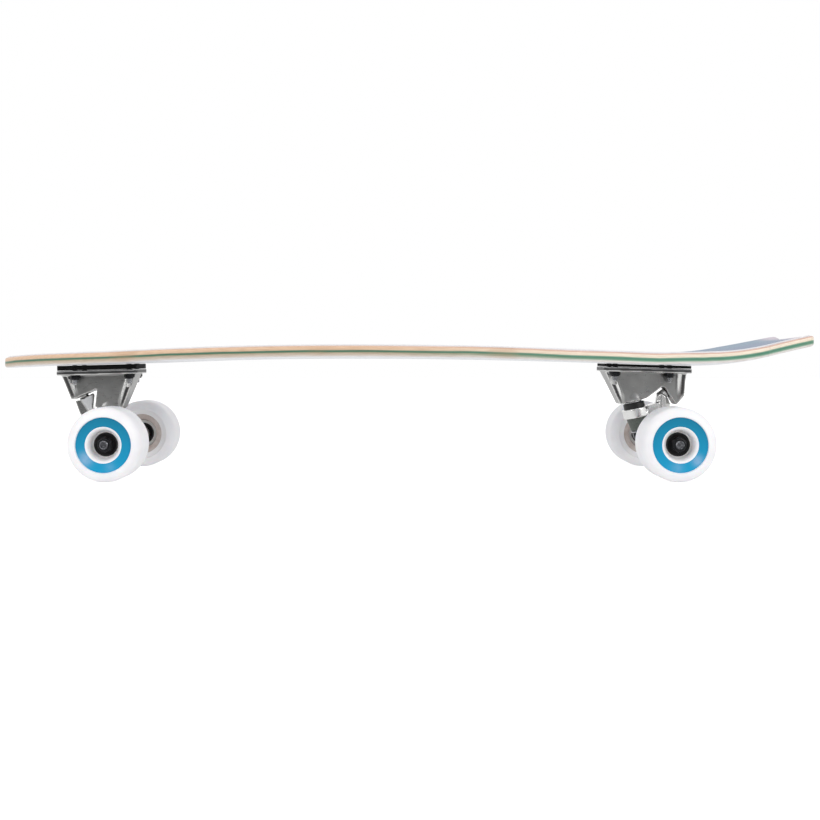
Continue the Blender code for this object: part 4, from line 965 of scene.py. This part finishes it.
def print_ring(tyre, name, x):
    """Ink on the outer face between its two radii, with the share of wear at each point."""
    wear = tyre.data.attributes.new("wear", "FLOAT", "POINT")
    middle = (RING_INNER + RING_OUTER) / 2
    for vertex in tyre.data.vertices:
        share = 0.0
        for degree, gone, reach in WORN[name]:
            place = Vector((x + middle * cos(radians(degree)), AXLE_Z + middle * sin(radians(degree))))
            off = (Vector((vertex.co.x, vertex.co.z)) - place).length
            share = max(share, gone * exp(-(off / (reach * MM)) ** 2))
        wear.data[vertex.index].value = share

    def radius_of(face):
        return Vector((face.center.x - x, face.center.z - AXLE_Z)).length

    coat(tyre, RING_INK, lambda face: (abs(abs(face.center.y) - TRACK_HALF - FACE) < 0.05 * MM
                                       and RING_INNER < radius_of(face) < RING_OUTER - 0.1 * MM))
    coat(tyre, BACKING, lambda face: (TRACK_HALF - FACE + MM < abs(face.center.y) < TRACK_HALF - SPAN
                                      and radius_of(face) < BACK_RADIUS))


def make_wheels():
    """Four wheels from one set of pieces, each piece with its own mesh."""
    tyre, core, bearing = make_tyre(), make_core(), make_bearing()
    for truck, x in AXLES.items():
        for side, y in (("left", -TRACK_HALF), ("right", TRACK_HALF)):
            name, hub = f"{truck}_{side}", f"{truck}_{side}_wheel"
            place = facing(x, y)
            rim = dress(copied(tyre, "tyre", place), name + "_urethane", hub, URETHANE, "white_urethane",
                        name + "_tyre")
            print_ring(rim, name, x)
            dress(copied(core, "core", place), name + "_hub", hub, NYLON, "core_plastic", name + "_core")
            for kind, offset in (("outer", 1), ("inner", -1)):
                shift = Matrix.Translation((0, 0, offset * (SPACER_HALF + BEARING_WIDTH / 2)))
                dress(copied(bearing, "bearing", place @ shift), f"{name}_{kind}_sealed_bearing", hub, SEAL,
                      "sealed_bearing", f"{name}_{kind}_bearing", angle=50)
    drop(tyre, core, bearing)


def make_axles():
    """Each truck's axle with its clamped washers and races, and a lock nut at each end."""
    low = TRACK_HALF + SPACER_HALF + BEARING_WIDTH + WASHER + 2 * SEAT_GAP
    high = low + NUT_HEIGHT + AXLE_PAST_NUT
    half = axle_section(low, high)
    section = [(0, -high)] + [(r, -h) for r, h in reversed(half)] + half + [(0, high)]
    for truck, x in AXLES.items():
        body = truck + "_hanger_body"
        axle = turned("axle", section, 64, along((x, 0, AXLE_Z), (0, 1, 0)))
        dress(axle, truck + "_threaded_axle", body, ZINC, "bright_steel", truck + "_axle")
        # The axle's ends get painted glints
        coat(axle, GLINT_SPOTTED_OXIDE, lambda face: abs(face.center.y) > HANGER_END)
        for side, y in (("left", -1), ("right", 1)):
            nut = hexagon_nut("nut", NUT_FLATS, low, low + NUT_HEIGHT, along((x, 0, AXLE_Z), (0, y, 0)),
                              AXLE_RADIUS + SEAT_GAP, pi / 6, 1.7 * MM)
            dress(nut, f"{truck}_{side}_axle_lock_nut", body, OXIDE, "black_steel",
                  f"{truck}_{side}_axle_nut")


make_wheels()
make_axles()


# Trucks

FLANGE = 4.5 * MM
FLANGE_HALF = 28 * MM
BORE_PLAY = 0.5 * MM
LEG = 7 * MM
LEG_BEVEL = 2 * MM
LEG_TOP_HALF = 18.5 * MM
LEG_FOOT_HALF = 12.5 * MM
WEB_HALF = 11.5 * MM
BOSS_RADIUS = 12.5 * MM
KINGPIN = 4.75 * MM
FAR = 80 * MM   # past any casting
HEAD_UP = 26 * MM
HEAD_HEIGHT = 6 * MM
KINGPIN_FLATS = 14.3 * MM
KINGPIN_PAST_NUT = 2.8 * MM
KINGPIN_PITCH = 1.25 * MM
RING = 13 * MM
RING_HEIGHT = 9.5 * MM
RING_BORE = 6.4 * MM
UPPER_CUP = 3 * MM
LOWER_CUP = 2 * MM
BUSHING = 10.7 * MM
BUSHING_FOOT = 8.3 * MM
LOWER_HEIGHT = 14.8 * MM
WASHER_RADIUS = 8.6 * MM
WASHER_HEIGHT = 1.2 * MM
BALL = 5.4 * MM
NECK = 4.6 * MM
CUP_WALL = 1.5 * MM
CUP_MOUTH = 4.2 * MM
CUP_BORE = 5.85 * MM
STEM = 13 * MM
HOUSING = 10.5 * MM
HOUSING_END = 8.4 * MM
SQUARE = 7.35 * MM
NECK_HALF = 7.4 * MM
ARM_HALF = 9.2 * MM
WING_HALF = 4.5 * MM
NUT_FLATS_SMALL = 9.2 * MM
NUT_SMALL = 4.5 * MM
BOLT_TAIL = 4.8 * MM
BOLT_THREAD = 13 * MM
BOLT_PITCH = 0.8 * MM
BOLT_ROOM = 2.9 * MM
SPOT_FACE = 6.4 * MM


# Each truck in its own frame: flange ends from the middle of its bolts, the kingpin's seat, the pivot,
# the ring's middle below the seat, in millimetres, and the lean of kingpin and pivot stem in degrees
TRUCKS = {"front": ((-44.6, 36.0), (-20.5, 0, 28.2), (-46.8, 0, 47.0), 10.0, (14.0, 66)),
          "rear": ((-48.6, 39.1), (23.7, 0, 37.33), (-12.6, 0, 48.8), 12.1, (12.4, 37))}


def seated(floor, height):
    """Both ends of a piece of this height that is seated on a floor."""
    return floor + SEAT_GAP, floor + SEAT_GAP + height


def truck_of(name):
    """One truck's sizes and directions, in its own frame, and its place in the world."""
    front = name == "front"
    truck = SimpleNamespace(name=name, front=front, height=FRONT_RISE if front else REAR_RISE)
    truck.pad = FRONT_PAD if front else REAR_PAD
    truck.slope = FRONT_SLOPE if front else -REAR_SLOPE
    truck.bolts_x = FRONT_BOLTS - AXLES["front"] if front else AXLES["rear"] - REAR_BOLTS
    flange, seat, pivot, ring_drop, leans = TRUCKS[name]
    truck.low_x, truck.high_x = (truck.bolts_x + end * MM for end in flange)
    truck.seat, truck.pivot = Vector(seat) * MM, Vector(pivot) * MM
    lean, stem = (radians(angle) for angle in leans)
    truck.down = Vector((-sin(lean), 0, -cos(lean)))
    truck.inboard = Vector((cos(lean), 0, -sin(lean)))
    truck.ring = truck.seat + truck.down * ring_drop * MM
    truck.stem = Vector((cos(stem), 0, -sin(stem)))
    turn = Matrix() if front else Matrix.Rotation(pi, 4, "Z")
    truck.place = Matrix.Translation((AXLES[name], 0, AXLE_Z)) @ turn
    truck.pin = along(truck.seat, truck.down)
    truck.bolt_frame = (Matrix.Translation((truck.bolts_x, 0, truck.height + truck.pad))
                        @ Matrix.Rotation(-radians(truck.slope), 4, "Y"))
    truck.bolts_place = truck.place @ truck.bolt_frame
    ring_top = ring_drop * MM - RING_HEIGHT / 2
    truck.levels = levels = SimpleNamespace(ring_top=ring_top, ring_foot=ring_top + RING_HEIGHT)
    levels.upper_floor = ring_top + UPPER_CUP
    levels.lower_floor = levels.ring_foot - LOWER_CUP
    levels.upper_washer = seated(0, WASHER_HEIGHT)
    levels.upper_bushing = (levels.upper_washer[1] + SEAT_GAP, levels.upper_floor - SEAT_GAP)
    levels.lower_bushing = seated(levels.lower_floor, LOWER_HEIGHT)
    levels.lower_washer = seated(levels.lower_bushing[1], WASHER_HEIGHT)
    levels.nut = seated(levels.lower_washer[1], NUT_HEIGHT)
    levels.end = levels.nut[1] + KINGPIN_PAST_NUT
    return truck


def near(point, dx, dz):
    """A side-view point set off from another, by millimetres."""
    return point.x + dx * MM, point.z + dz * MM


def run_of(point, *steps):
    """Side-view points, each set off from the same one."""
    return [near(point, *step) for step in steps]


def bowl(radius):
    """Section of the lower half of a ball, from its foot to its middle."""
    return [(radius * sin(pi / 2 * i / 10), -radius * cos(pi / 2 * i / 10)) for i in range(11)]


def root(truck, x):
    """A side-view point inside the flange, where a web or leg grows from."""
    low = truck.height - SEAT_GAP - FLANGE + tan(radians(truck.slope)) * (x - truck.bolts_x)
    return x, low + FLANGE / 2


def corners(x_low, x_high, half, corner):
    """A plan outline with round corners."""
    outline = []
    for quarter, (cx, cy) in enumerate(((x_high - corner, half - corner), (x_low + corner, half - corner),
                                        (x_low + corner, corner - half), (x_high - corner, corner - half))):
        for step in range(9):
            angle = pi / 2 * (quarter + step / 8)
            outline.append((cx + corner * cos(angle), cy + corner * sin(angle)))
    return outline


def leg(root_outer, root_inner, foot_outer, foot_inner):
    """An end wall of the casting: wide at the flange, narrow at its foot, its inner edges cut back."""
    inward = 1 if root_inner[0] > root_outer[0] else -1

    def section(outer, inner, half, share):
        cut = LEG_BEVEL * (0.8 + 0.4 * share)
        thick = abs(inner[0] - outer[0])
        run = min(2 * cut, 0.62 * thick)
        side = inner[0] - inward * run
        drop = inner[1] - run * (inner[1] - outer[1]) / thick
        return [(outer[0], -half, outer[1]), (side, -half, drop), (inner[0], cut - half, inner[1]),
                (inner[0], half - cut, inner[1]), (side, half, drop), (outer[0], half, outer[1])]

    foot = section(foot_outer, foot_inner, LEG_FOOT_HALF, 0)
    top = section(root_outer, root_inner, LEG_TOP_HALF, 1)
    obj = plate("leg", [(x, y) for x, y, z in foot], 0, 10 * MM)
    raised = [vertex.co.z > 5 * MM for vertex in obj.data.vertices]
    for vertex, up in zip(obj.data.vertices, raised):
        places = [(abs(vertex.co.x - x) + abs(vertex.co.y - y), i) for i, (x, y, z) in enumerate(foot)]
        vertex.co = (top if up else foot)[min(places)[1]]
    return clean(obj)


def front_base_parts(truck):
    """Web and legs of the front casting."""
    outer, inner = truck.low_x + 2.7 * MM, truck.high_x - 2.2 * MM
    lobe = near(truck.pivot, -7.8, -8.2)
    raised = truck.seat - truck.down * 0.6 * MM
    boss_out, boss_in = raised - truck.inboard * 11.2 * MM, raised + truck.inboard * 11.2 * MM
    heel = near(truck.seat, 17.2, 2.6)
    notch = run_of(truck.pivot, (14.6, 1.4), (15.8, 2.4), (17.0, 2.2), (17.4, 0.8))
    web = [root(truck, outer + MM), (lobe[0] + MM, lobe[1] + 0.5 * MM), *notch, (boss_out.x, boss_out.z),
           (boss_in.x, boss_in.z), heel, root(truck, inner - MM)]
    legs = [leg(root(truck, outer), root(truck, outer + LEG + 2.5 * MM), lobe,
                (lobe[0] + LEG, lobe[1] + 2.6 * MM)),
            leg(root(truck, inner), root(truck, inner - LEG - 3 * MM), heel,
                (heel[0] - LEG + MM, heel[1] + MM))]
    return web, legs


def rear_base_parts(truck):
    """Web and legs of the rear casting."""
    outer, inner = truck.low_x + 4.1 * MM, truck.high_x - 0.9 * MM
    raised = truck.seat - truck.down * 0.6 * MM
    boss_in, boss_out = raised + truck.inboard * 12.2 * MM, raised - truck.inboard * 12.5 * MM
    foot = near(truck.seat, 15.3, -3.1)
    arch = run_of(truck.pivot, (11.2, 1.4), (9.6, 2.8), (7.6, 2.9), (6.0, 1.6))
    tip, heel = run_of(truck.pivot, (-5.3, -15.2), (-13.1, -6.1))
    web = [root(truck, inner - MM), foot, (boss_in.x, boss_in.z), (boss_out.x, boss_out.z), *arch, tip, heel,
           root(truck, outer + MM)]
    legs = [leg(root(truck, inner), root(truck, inner - LEG - 3 * MM), foot,
                (foot[0] - LEG + MM, foot[1] + MM)),
            leg(root(truck, outer), root(truck, outer + LEG + 2 * MM), heel,
                (heel[0] + LEG, heel[1] - 4 * MM))]
    return web, legs


def mark_castings(base, truck, foot):
    """Mark the flange's rim and the legs' sideways faces for painted shade, and the legs' cut-back faces for
    a painted highlight.
    """
    rim = base.data.attributes.new("rim", "FLOAT", "POINT")
    edge = base.data.attributes["edge"]
    to_seat = truck.bolts_place.inverted()
    for vertex in base.data.vertices:
        height = (to_seat @ vertex.co).z
        upright = 1 - 2 * abs((to_seat.to_3x3() @ vertex.normal).z)
        # Painted shade, under the name rim: the flange's sides and the legs' faces that look sideways
        on_flange = ramp(height, foot + 0.25 * MM, foot + 0.75 * MM) * ramp(upright, 0, 0.5)
        past_web = ramp(abs(vertex.co.y), WEB_HALF + MM, WEB_HALF + 2 * MM)
        aside = ramp(abs(vertex.normal.y), 0.9, 0.96)
        rim.data[vertex.index].value = max(on_flange, past_web * aside)
        # Painted highlight, under the name edge: the legs' slanted cut-back faces
        slanted = (1 - aside) * ramp(abs(vertex.normal.y), 0.2, 0.35)
        if height < foot - 0.5 * MM:
            edge.data[vertex.index].value = max(edge.data[vertex.index].value, 0.95 * past_web * slanted)


def make_baseplate(truck):
    """The cast baseplate: flange, web, legs and kingpin boss, with its bored and faced holes."""
    top = -truck.pad - SEAT_GAP
    flange = plate("flange", corners(truck.low_x - truck.bolts_x, truck.high_x - truck.bolts_x,
                                     FLANGE_HALF, 5 * MM), top - FLANGE, top, truck.bolt_frame)
    web, legs = (front_base_parts if truck.front else rear_base_parts)(truck)
    boss_top = truck.seat.z - truck.height + FLANGE
    boss = turned("boss", [(0, 0), (BOSS_RADIUS, 0), (BOSS_RADIUS, -4 * MM), (WEB_HALF, -9 * MM),
                           (WEB_HALF, boss_top), (0, boss_top)], 48, truck.pin)
    base = cast_as_one("baseplate", [flange, side_plate("web", web, WEB_HALF), *legs, boss])
    head_room = KINGPIN_FLATS / 2 / cos(pi / 6) + BORE_PLAY
    hole, pocket = KINGPIN + SEAT_GAP, SEAT_GAP - HEAD_UP
    rooms = [turned("room", [(0, 10 * MM), (hole, 10 * MM), (hole, pocket), (head_room, pocket),
                             (head_room, -FAR), (0, -FAR)], 48, truck.pin)]
    outer = CUP_BORE + CUP_WALL
    deep = -outer - SEAT_GAP
    rooms.append(turned("room", [(0, deep), (outer * 0.82, deep), (outer + SEAT_GAP, 0),
                                 (outer + SEAT_GAP, 30 * MM), (0, 30 * MM)],
                        48, along(truck.pivot, truck.stem)))
    foot = top - FLANGE
    spot_face = [(0, foot - 13 * MM), (SPOT_FACE, foot - 13 * MM), (SPOT_FACE, foot), (BOLT_ROOM, foot),
                 (BOLT_ROOM, 10 * MM), (0, 10 * MM)]
    rooms += [turned("room", spot_face, 40, truck.bolt_frame @ Matrix.Translation((x, y, 0)))
              for x, y in BOLT_PLACES]
    boolean(base, joined("rooms", rooms), "DIFFERENCE")
    base.data.transform(truck.place)
    dress(base, truck.name + "_cast_baseplate", "board", CAST, "cast_aluminium", truck.name + "_baseplate",
          angle=38)
    mark_castings(base, truck, foot)


def make_riser(truck):
    """The moulded rubber pad under the deck, its rim eased."""
    outline = corners(truck.low_x - truck.bolts_x + 0.8 * MM, truck.high_x - truck.bolts_x - 0.6 * MM,
                      28.5 * MM, 4.5 * MM)
    pad = plate("riser", outline, -truck.pad, -SEAT_GAP)
    rounded(pad, 0.5 * MM, 3, 60)
    holes = [drill(BOLT_ROOM, -20 * MM, 10 * MM, Matrix.Translation((x, y, 0))) for x, y in BOLT_PLACES]
    boolean(pad, joined("rooms", holes), "DIFFERENCE")
    pad.data.transform(truck.bolts_place)
    dress(pad, truck.name + "_rubber_riser", "board", RUBBER, "black_rubber", truck.name + "_riser_pad")


def make_bolts(truck):
    """Four countersunk cross-head bolts through the deck, each with a lock nut under the flange."""
    nut_top = -truck.pad - FLANGE - 2 * SEAT_GAP
    length = BOLT_TOP - nut_top + NUT_SMALL + BOLT_TAIL
    section = [(0, -length), (BOLT_RADIUS * 0.7, -length)]
    section += thread(BOLT_RADIUS, -length + 0.3 * MM, -length + BOLT_THREAD, BOLT_PITCH)
    section += [(BOLT_RADIUS, -length + BOLT_THREAD + 0.2 * MM), (BOLT_RADIUS, -HEAD_DEPTH),
                (HEAD_RADIUS, -0.2 * MM), (HEAD_RADIUS - 0.15 * MM, 0), (0, 0)]
    bolt = turned("bolt", section, 32)
    # The cross in its head narrows toward its foot
    wide, thin = 2.6 * MM, 0.55 * MM
    cross = [(wide, -thin), (wide, thin), (thin, thin), (thin, wide), (-thin, wide), (-thin, thin)]
    cross += [(-x, -y) for x, y in cross]
    recess = plate("recess", cross, -1.7 * MM, MM)
    for vertex in recess.data.vertices:
        if vertex.co.z < 0:
            vertex.co.xy *= 0.55
    boolean(bolt, recess, "DIFFERENCE")
    nut = hexagon_nut("nut", NUT_FLATS_SMALL, -nut_top, -nut_top + NUT_SMALL, Matrix.Rotation(pi, 4, "X"),
                      BOLT_RADIUS + SEAT_GAP, 0.0, 1.2 * MM)
    for number, (x, y) in enumerate(BOLT_PLACES, 1):
        place = truck.bolts_place @ Matrix.Translation((x, y, 0))
        turn = Matrix.Rotation(radians(23 + 31 * number), 4, "Z")
        dress(copied(bolt, "bolt", place @ Matrix.Translation((0, 0, BOLT_TOP)) @ turn),
              f"{truck.name}_deck_bolt_{number}", "board", ZINC, "bright_steel",
              f"{truck.name}_bolt_{number}")
        dress(copied(nut, "nut", place), f"{truck.name}_lock_nut_{number}", "board", OXIDE, "black_steel",
              f"{truck.name}_bolt_nut_{number}")
    drop(bolt, nut)


def make_pivot_cup(truck):
    """The urethane cup that the hanger's ball turns in, its mouth flared and eased."""
    outer = CUP_BORE + CUP_WALL
    wall = [(CUP_BORE + 0.1 * MM, CUP_MOUTH - MM), (CUP_BORE + 0.6 * MM, CUP_MOUTH),
            (outer - 0.4 * MM, CUP_MOUTH), (outer, CUP_MOUTH - 0.4 * MM), (outer, 0), (outer * 0.8, -outer),
            (0, -outer)]
    cup = turned("cup", bowl(CUP_BORE) + wall, 48, truck.place @ along(truck.pivot, truck.stem))
    dress(cup, truck.name + "_urethane_cup", "board", BLACK_BUSHING, "black_urethane",
          truck.name + "_pivot_cup")


def ring_piece(level, top_radius, foot_radius, hole, ease, rows=1):
    """Section of a washer or bushing between two heights, with eased rims and this many rows between."""
    top, foot = level
    rise = foot - top
    side = [(top_radius + (foot_radius - top_radius) * i / rows, top + ease + (rise - 2 * ease) * i / rows)
            for i in range(rows + 1)]
    bore = [(hole, foot - rise * i / rows) for i in range(rows + 1)]
    return [(hole, top), (top_radius - ease, top), (top_radius - 0.3 * ease, top + 0.3 * ease), *side,
            (foot_radius - 0.3 * ease, foot - 0.3 * ease), (foot_radius - ease, foot), *bore]


def make_kingpin(truck):
    """Kingpin with its hexagonal head and thread, its lock nut, two washers and two bushings."""
    levels, pin = truck.levels, truck.place @ truck.pin
    hole = KINGPIN + SEAT_GAP
    section = [(0, -HEAD_UP - MM), (KINGPIN, -HEAD_UP - MM), (KINGPIN, levels.nut[0] - 6 * MM)]
    section += thread(KINGPIN, levels.nut[0] - 5.6 * MM, levels.end - 0.4 * MM, KINGPIN_PITCH)
    section += [(KINGPIN * THREAD_POINT, levels.end), (0, levels.end)]
    shank = turned("kingpin", section, 48)
    head = hexagon_nut("head", KINGPIN_FLATS, -HEAD_UP - HEAD_HEIGHT, -HEAD_UP, Matrix(), 0.5 * MM)
    boolean(shank, head, "UNION")
    shank.data.transform(pin)
    dress(shank, truck.name + "_steel_kingpin", "board", ZINC, "bright_steel", truck.name + "_kingpin")
    nut = hexagon_nut("nut", KINGPIN_FLATS, *levels.nut, pin, hole, pi / 6, 2.2 * MM)
    dress(nut, truck.name + "_kingpin_lock_nut", "board", OXIDE, "black_steel", truck.name + "_kingpin_nut")
    for kind, level in (("upper", levels.upper_washer), ("lower", levels.lower_washer)):
        washer = turned("washer", ring_piece(level, WASHER_RADIUS, WASHER_RADIUS, hole, 0.3 * MM), 64, pin)
        dress(washer, f"{truck.name}_{kind}_pressed_washer", "board", ZINC, "bright_steel",
              f"{truck.name}_{kind}_bushing_washer")
    # Each bushing is given the board, the hanger and the places of its two ends, and is baked where it stands
    upper, lower = levels.upper_bushing, levels.lower_bushing
    for kind, colour, material, section, start, stop in (
            ("upper", "black", BLACK_BUSHING, ring_piece(upper, BUSHING, BUSHING, hole, 0.7 * MM, 6),
             upper[0], levels.ring_top),
            ("lower", "grey", GREY_BUSHING, ring_piece(lower, BUSHING, BUSHING_FOOT, hole, 0.9 * MM, 8),
             lower[1], levels.ring_foot)):
        bend = "board", truck.name + "_hanger_body", pin @ Vector((0, 0, start)), pin @ Vector((0, 0, stop))
        dress(turned("bushing", section, 64, pin), f"{truck.name}_{kind}_urethane", bend, material,
              colour + "_urethane", f"{truck.name}_{kind}_bushing", angle=60)


def plane_off(piece, start, end, half, angle):
    """Plane both faces of a plate back at an angle, to the right of a line in its side view."""
    run = Vector((end[0] - start[0], 0, end[1] - start[1])).normalized()
    aside = Vector((-run.z, 0, run.x))
    lean = radians(angle)
    square = [(-60 * MM, -60 * MM), (60 * MM, -60 * MM), (60 * MM, 60 * MM), (-60 * MM, 60 * MM)]
    for side in (-1, 1):
        outward = Vector((0, side, 0)) * cos(lean) + aside * sin(lean)
        frame = along(Vector((start[0], side * half, start[1])), outward)
        boolean(piece, plate("slab", square, 0, 30 * MM, frame), "DIFFERENCE")


def front_hanger_parts(truck):
    """Side views of the front hanger's neck, outside its ring, and arm, inside it, and the neck's ridges."""
    ring, pivot, low = truck.ring, truck.pivot, SQUARE
    neck = [*run_of(pivot, (-5.2, -9.4), (-0.5, -22.5)),
            *run_of(ring, (-19.1, -1.0), (-12.3, -2.5), (-10.6, 6.5), (-12.1, 14.5)),
            *run_of(pivot, (13.0, -3.0), (11.3, -1.7), (7.3, -4.0), (3.8, -6.8))]
    ridges = [(*run_of(pivot, (-0.2, -7.0), (7.1, -18.3)), 28)]
    arm = [near(ring, 9.9, 2.3), (-4 * MM, 12.5 * MM), (low + MM, low), (low + MM, -low), (-low, -low),
           (-12.5 * MM, 1.5 * MM), near(ring, 9.4, -9.0)]
    return neck, arm, ridges


def rear_hanger_parts(truck):
    """Side views of the rear hanger's column up to the pivot, its short arm to the ring, and its ridges."""
    ring, pivot, low = truck.ring, truck.pivot, SQUARE
    neck = [*run_of(pivot, (2.2, -8.5), (9.1, -3.8), (12.9, -5.6), (14.1, -12.3), (17.0, -33.0)),
            (low, 0.0), (low, -low), (-low, -low), (-10.0 * MM, 6 * MM), (-11.5 * MM, 25 * MM),
            near(pivot, -0.6, -14.8)]
    ridges = [(*run_of(pivot, (5, -33), (5, -5)), 30), (*run_of(pivot, (9, -5), (9, -33)), 30)]
    arm = [near(pivot, 11.0, -12.5), *run_of(ring, (-11.6, 7.3), (-10.8, -1.0), (-13.7, -1.8)),
           near(pivot, 11.0, -30.0)]
    return neck, arm, ridges


def make_hanger(truck):
    """The cast and polished hanger: axle housing, wings, arm, ring and the ball in the cup."""
    levels, across = truck.levels, along((0, 0, 0), (0, 1, 0))
    housing = turned("hanger", [(0, -HANGER_END), (HOUSING_END, -HANGER_END), (HOUSING, -HANGER_END * 0.4),
                                (HOUSING, HANGER_END * 0.4), (HOUSING_END, HANGER_END), (0, HANGER_END)],
                     64, across)
    neck_view, arm, ridges = (front_hanger_parts if truck.front else rear_hanger_parts)(truck)
    neck = side_plate("neck", neck_view, NECK_HALF)
    for start, end, angle in ridges:
        plane_off(neck, start, end, NECK_HALF, angle)
    crest, wing_x = (11.5, -2) if truck.front else (24, -4.5)
    wing = [(58, -4), (58, 6), (12, crest), (-12, crest), (-58, 6), (-58, -4)]
    sideways = Matrix(((0, 0, 1, 0), (1, 0, 0, 0), (0, 1, 0, 0), (0, 0, 0, 1)))
    wings = plate("wing", [(y * MM, z * MM) for y, z in wing], wing_x * MM - WING_HALF,
                  wing_x * MM + WING_HALF, sideways)
    ring = turned("ring", [(0, levels.ring_top), (RING, levels.ring_top), (RING, levels.ring_foot),
                           (0, levels.ring_foot)], 96, truck.pin)
    section = bowl(BALL) + [(NECK, sqrt(BALL ** 2 - NECK ** 2)), (NECK + 0.3 * MM, STEM), (0, STEM)]
    stem = turned("stem", section, 48, along(truck.pivot, truck.stem))
    hanger = cast_as_one("hanger", [housing, wings, neck, side_plate("arm", arm, ARM_HALF), ring, stem])
    cup, foot = BUSHING + 1.5 * SEAT_GAP, WASHER_RADIUS + BORE_PLAY
    passage = [(0, 0), (cup, 0), (cup, levels.upper_floor), (RING_BORE, levels.upper_floor),
               (RING_BORE, levels.lower_floor), (cup, levels.lower_floor), (cup, levels.ring_foot),
               (foot, levels.lower_bushing[1]), (foot, FAR), (0, FAR)]
    boolean(hanger, turned("room", passage, 64, truck.pin), "DIFFERENCE")
    boolean(hanger, drill(AXLE_RADIUS + SEAT_GAP, -FAR * 2, FAR * 2, across), "DIFFERENCE")
    if not truck.front:
        # Room for the kingpin's nut under the rear arm
        plan = [(foot, -16.5 * MM), (foot, 16.5 * MM), (-33 * MM, 16.5 * MM), (-33 * MM, -16.5 * MM)]
        boolean(hanger, plate("room", plan, levels.lower_bushing[1] - 3 * MM, FAR, truck.pin), "DIFFERENCE")
    hanger.data.transform(truck.place)
    dress(hanger, truck.name + "_polished_hanger", truck.name + "_hanger_body", POLISHED,
          "polished_aluminium", truck.name + "_hanger", angle=38)


for truck in (truck_of("front"), truck_of("rear")):
    make_riser(truck)
    make_baseplate(truck)
    make_bolts(truck)
    make_pivot_cup(truck)
    make_kingpin(truck)
    make_hanger(truck)
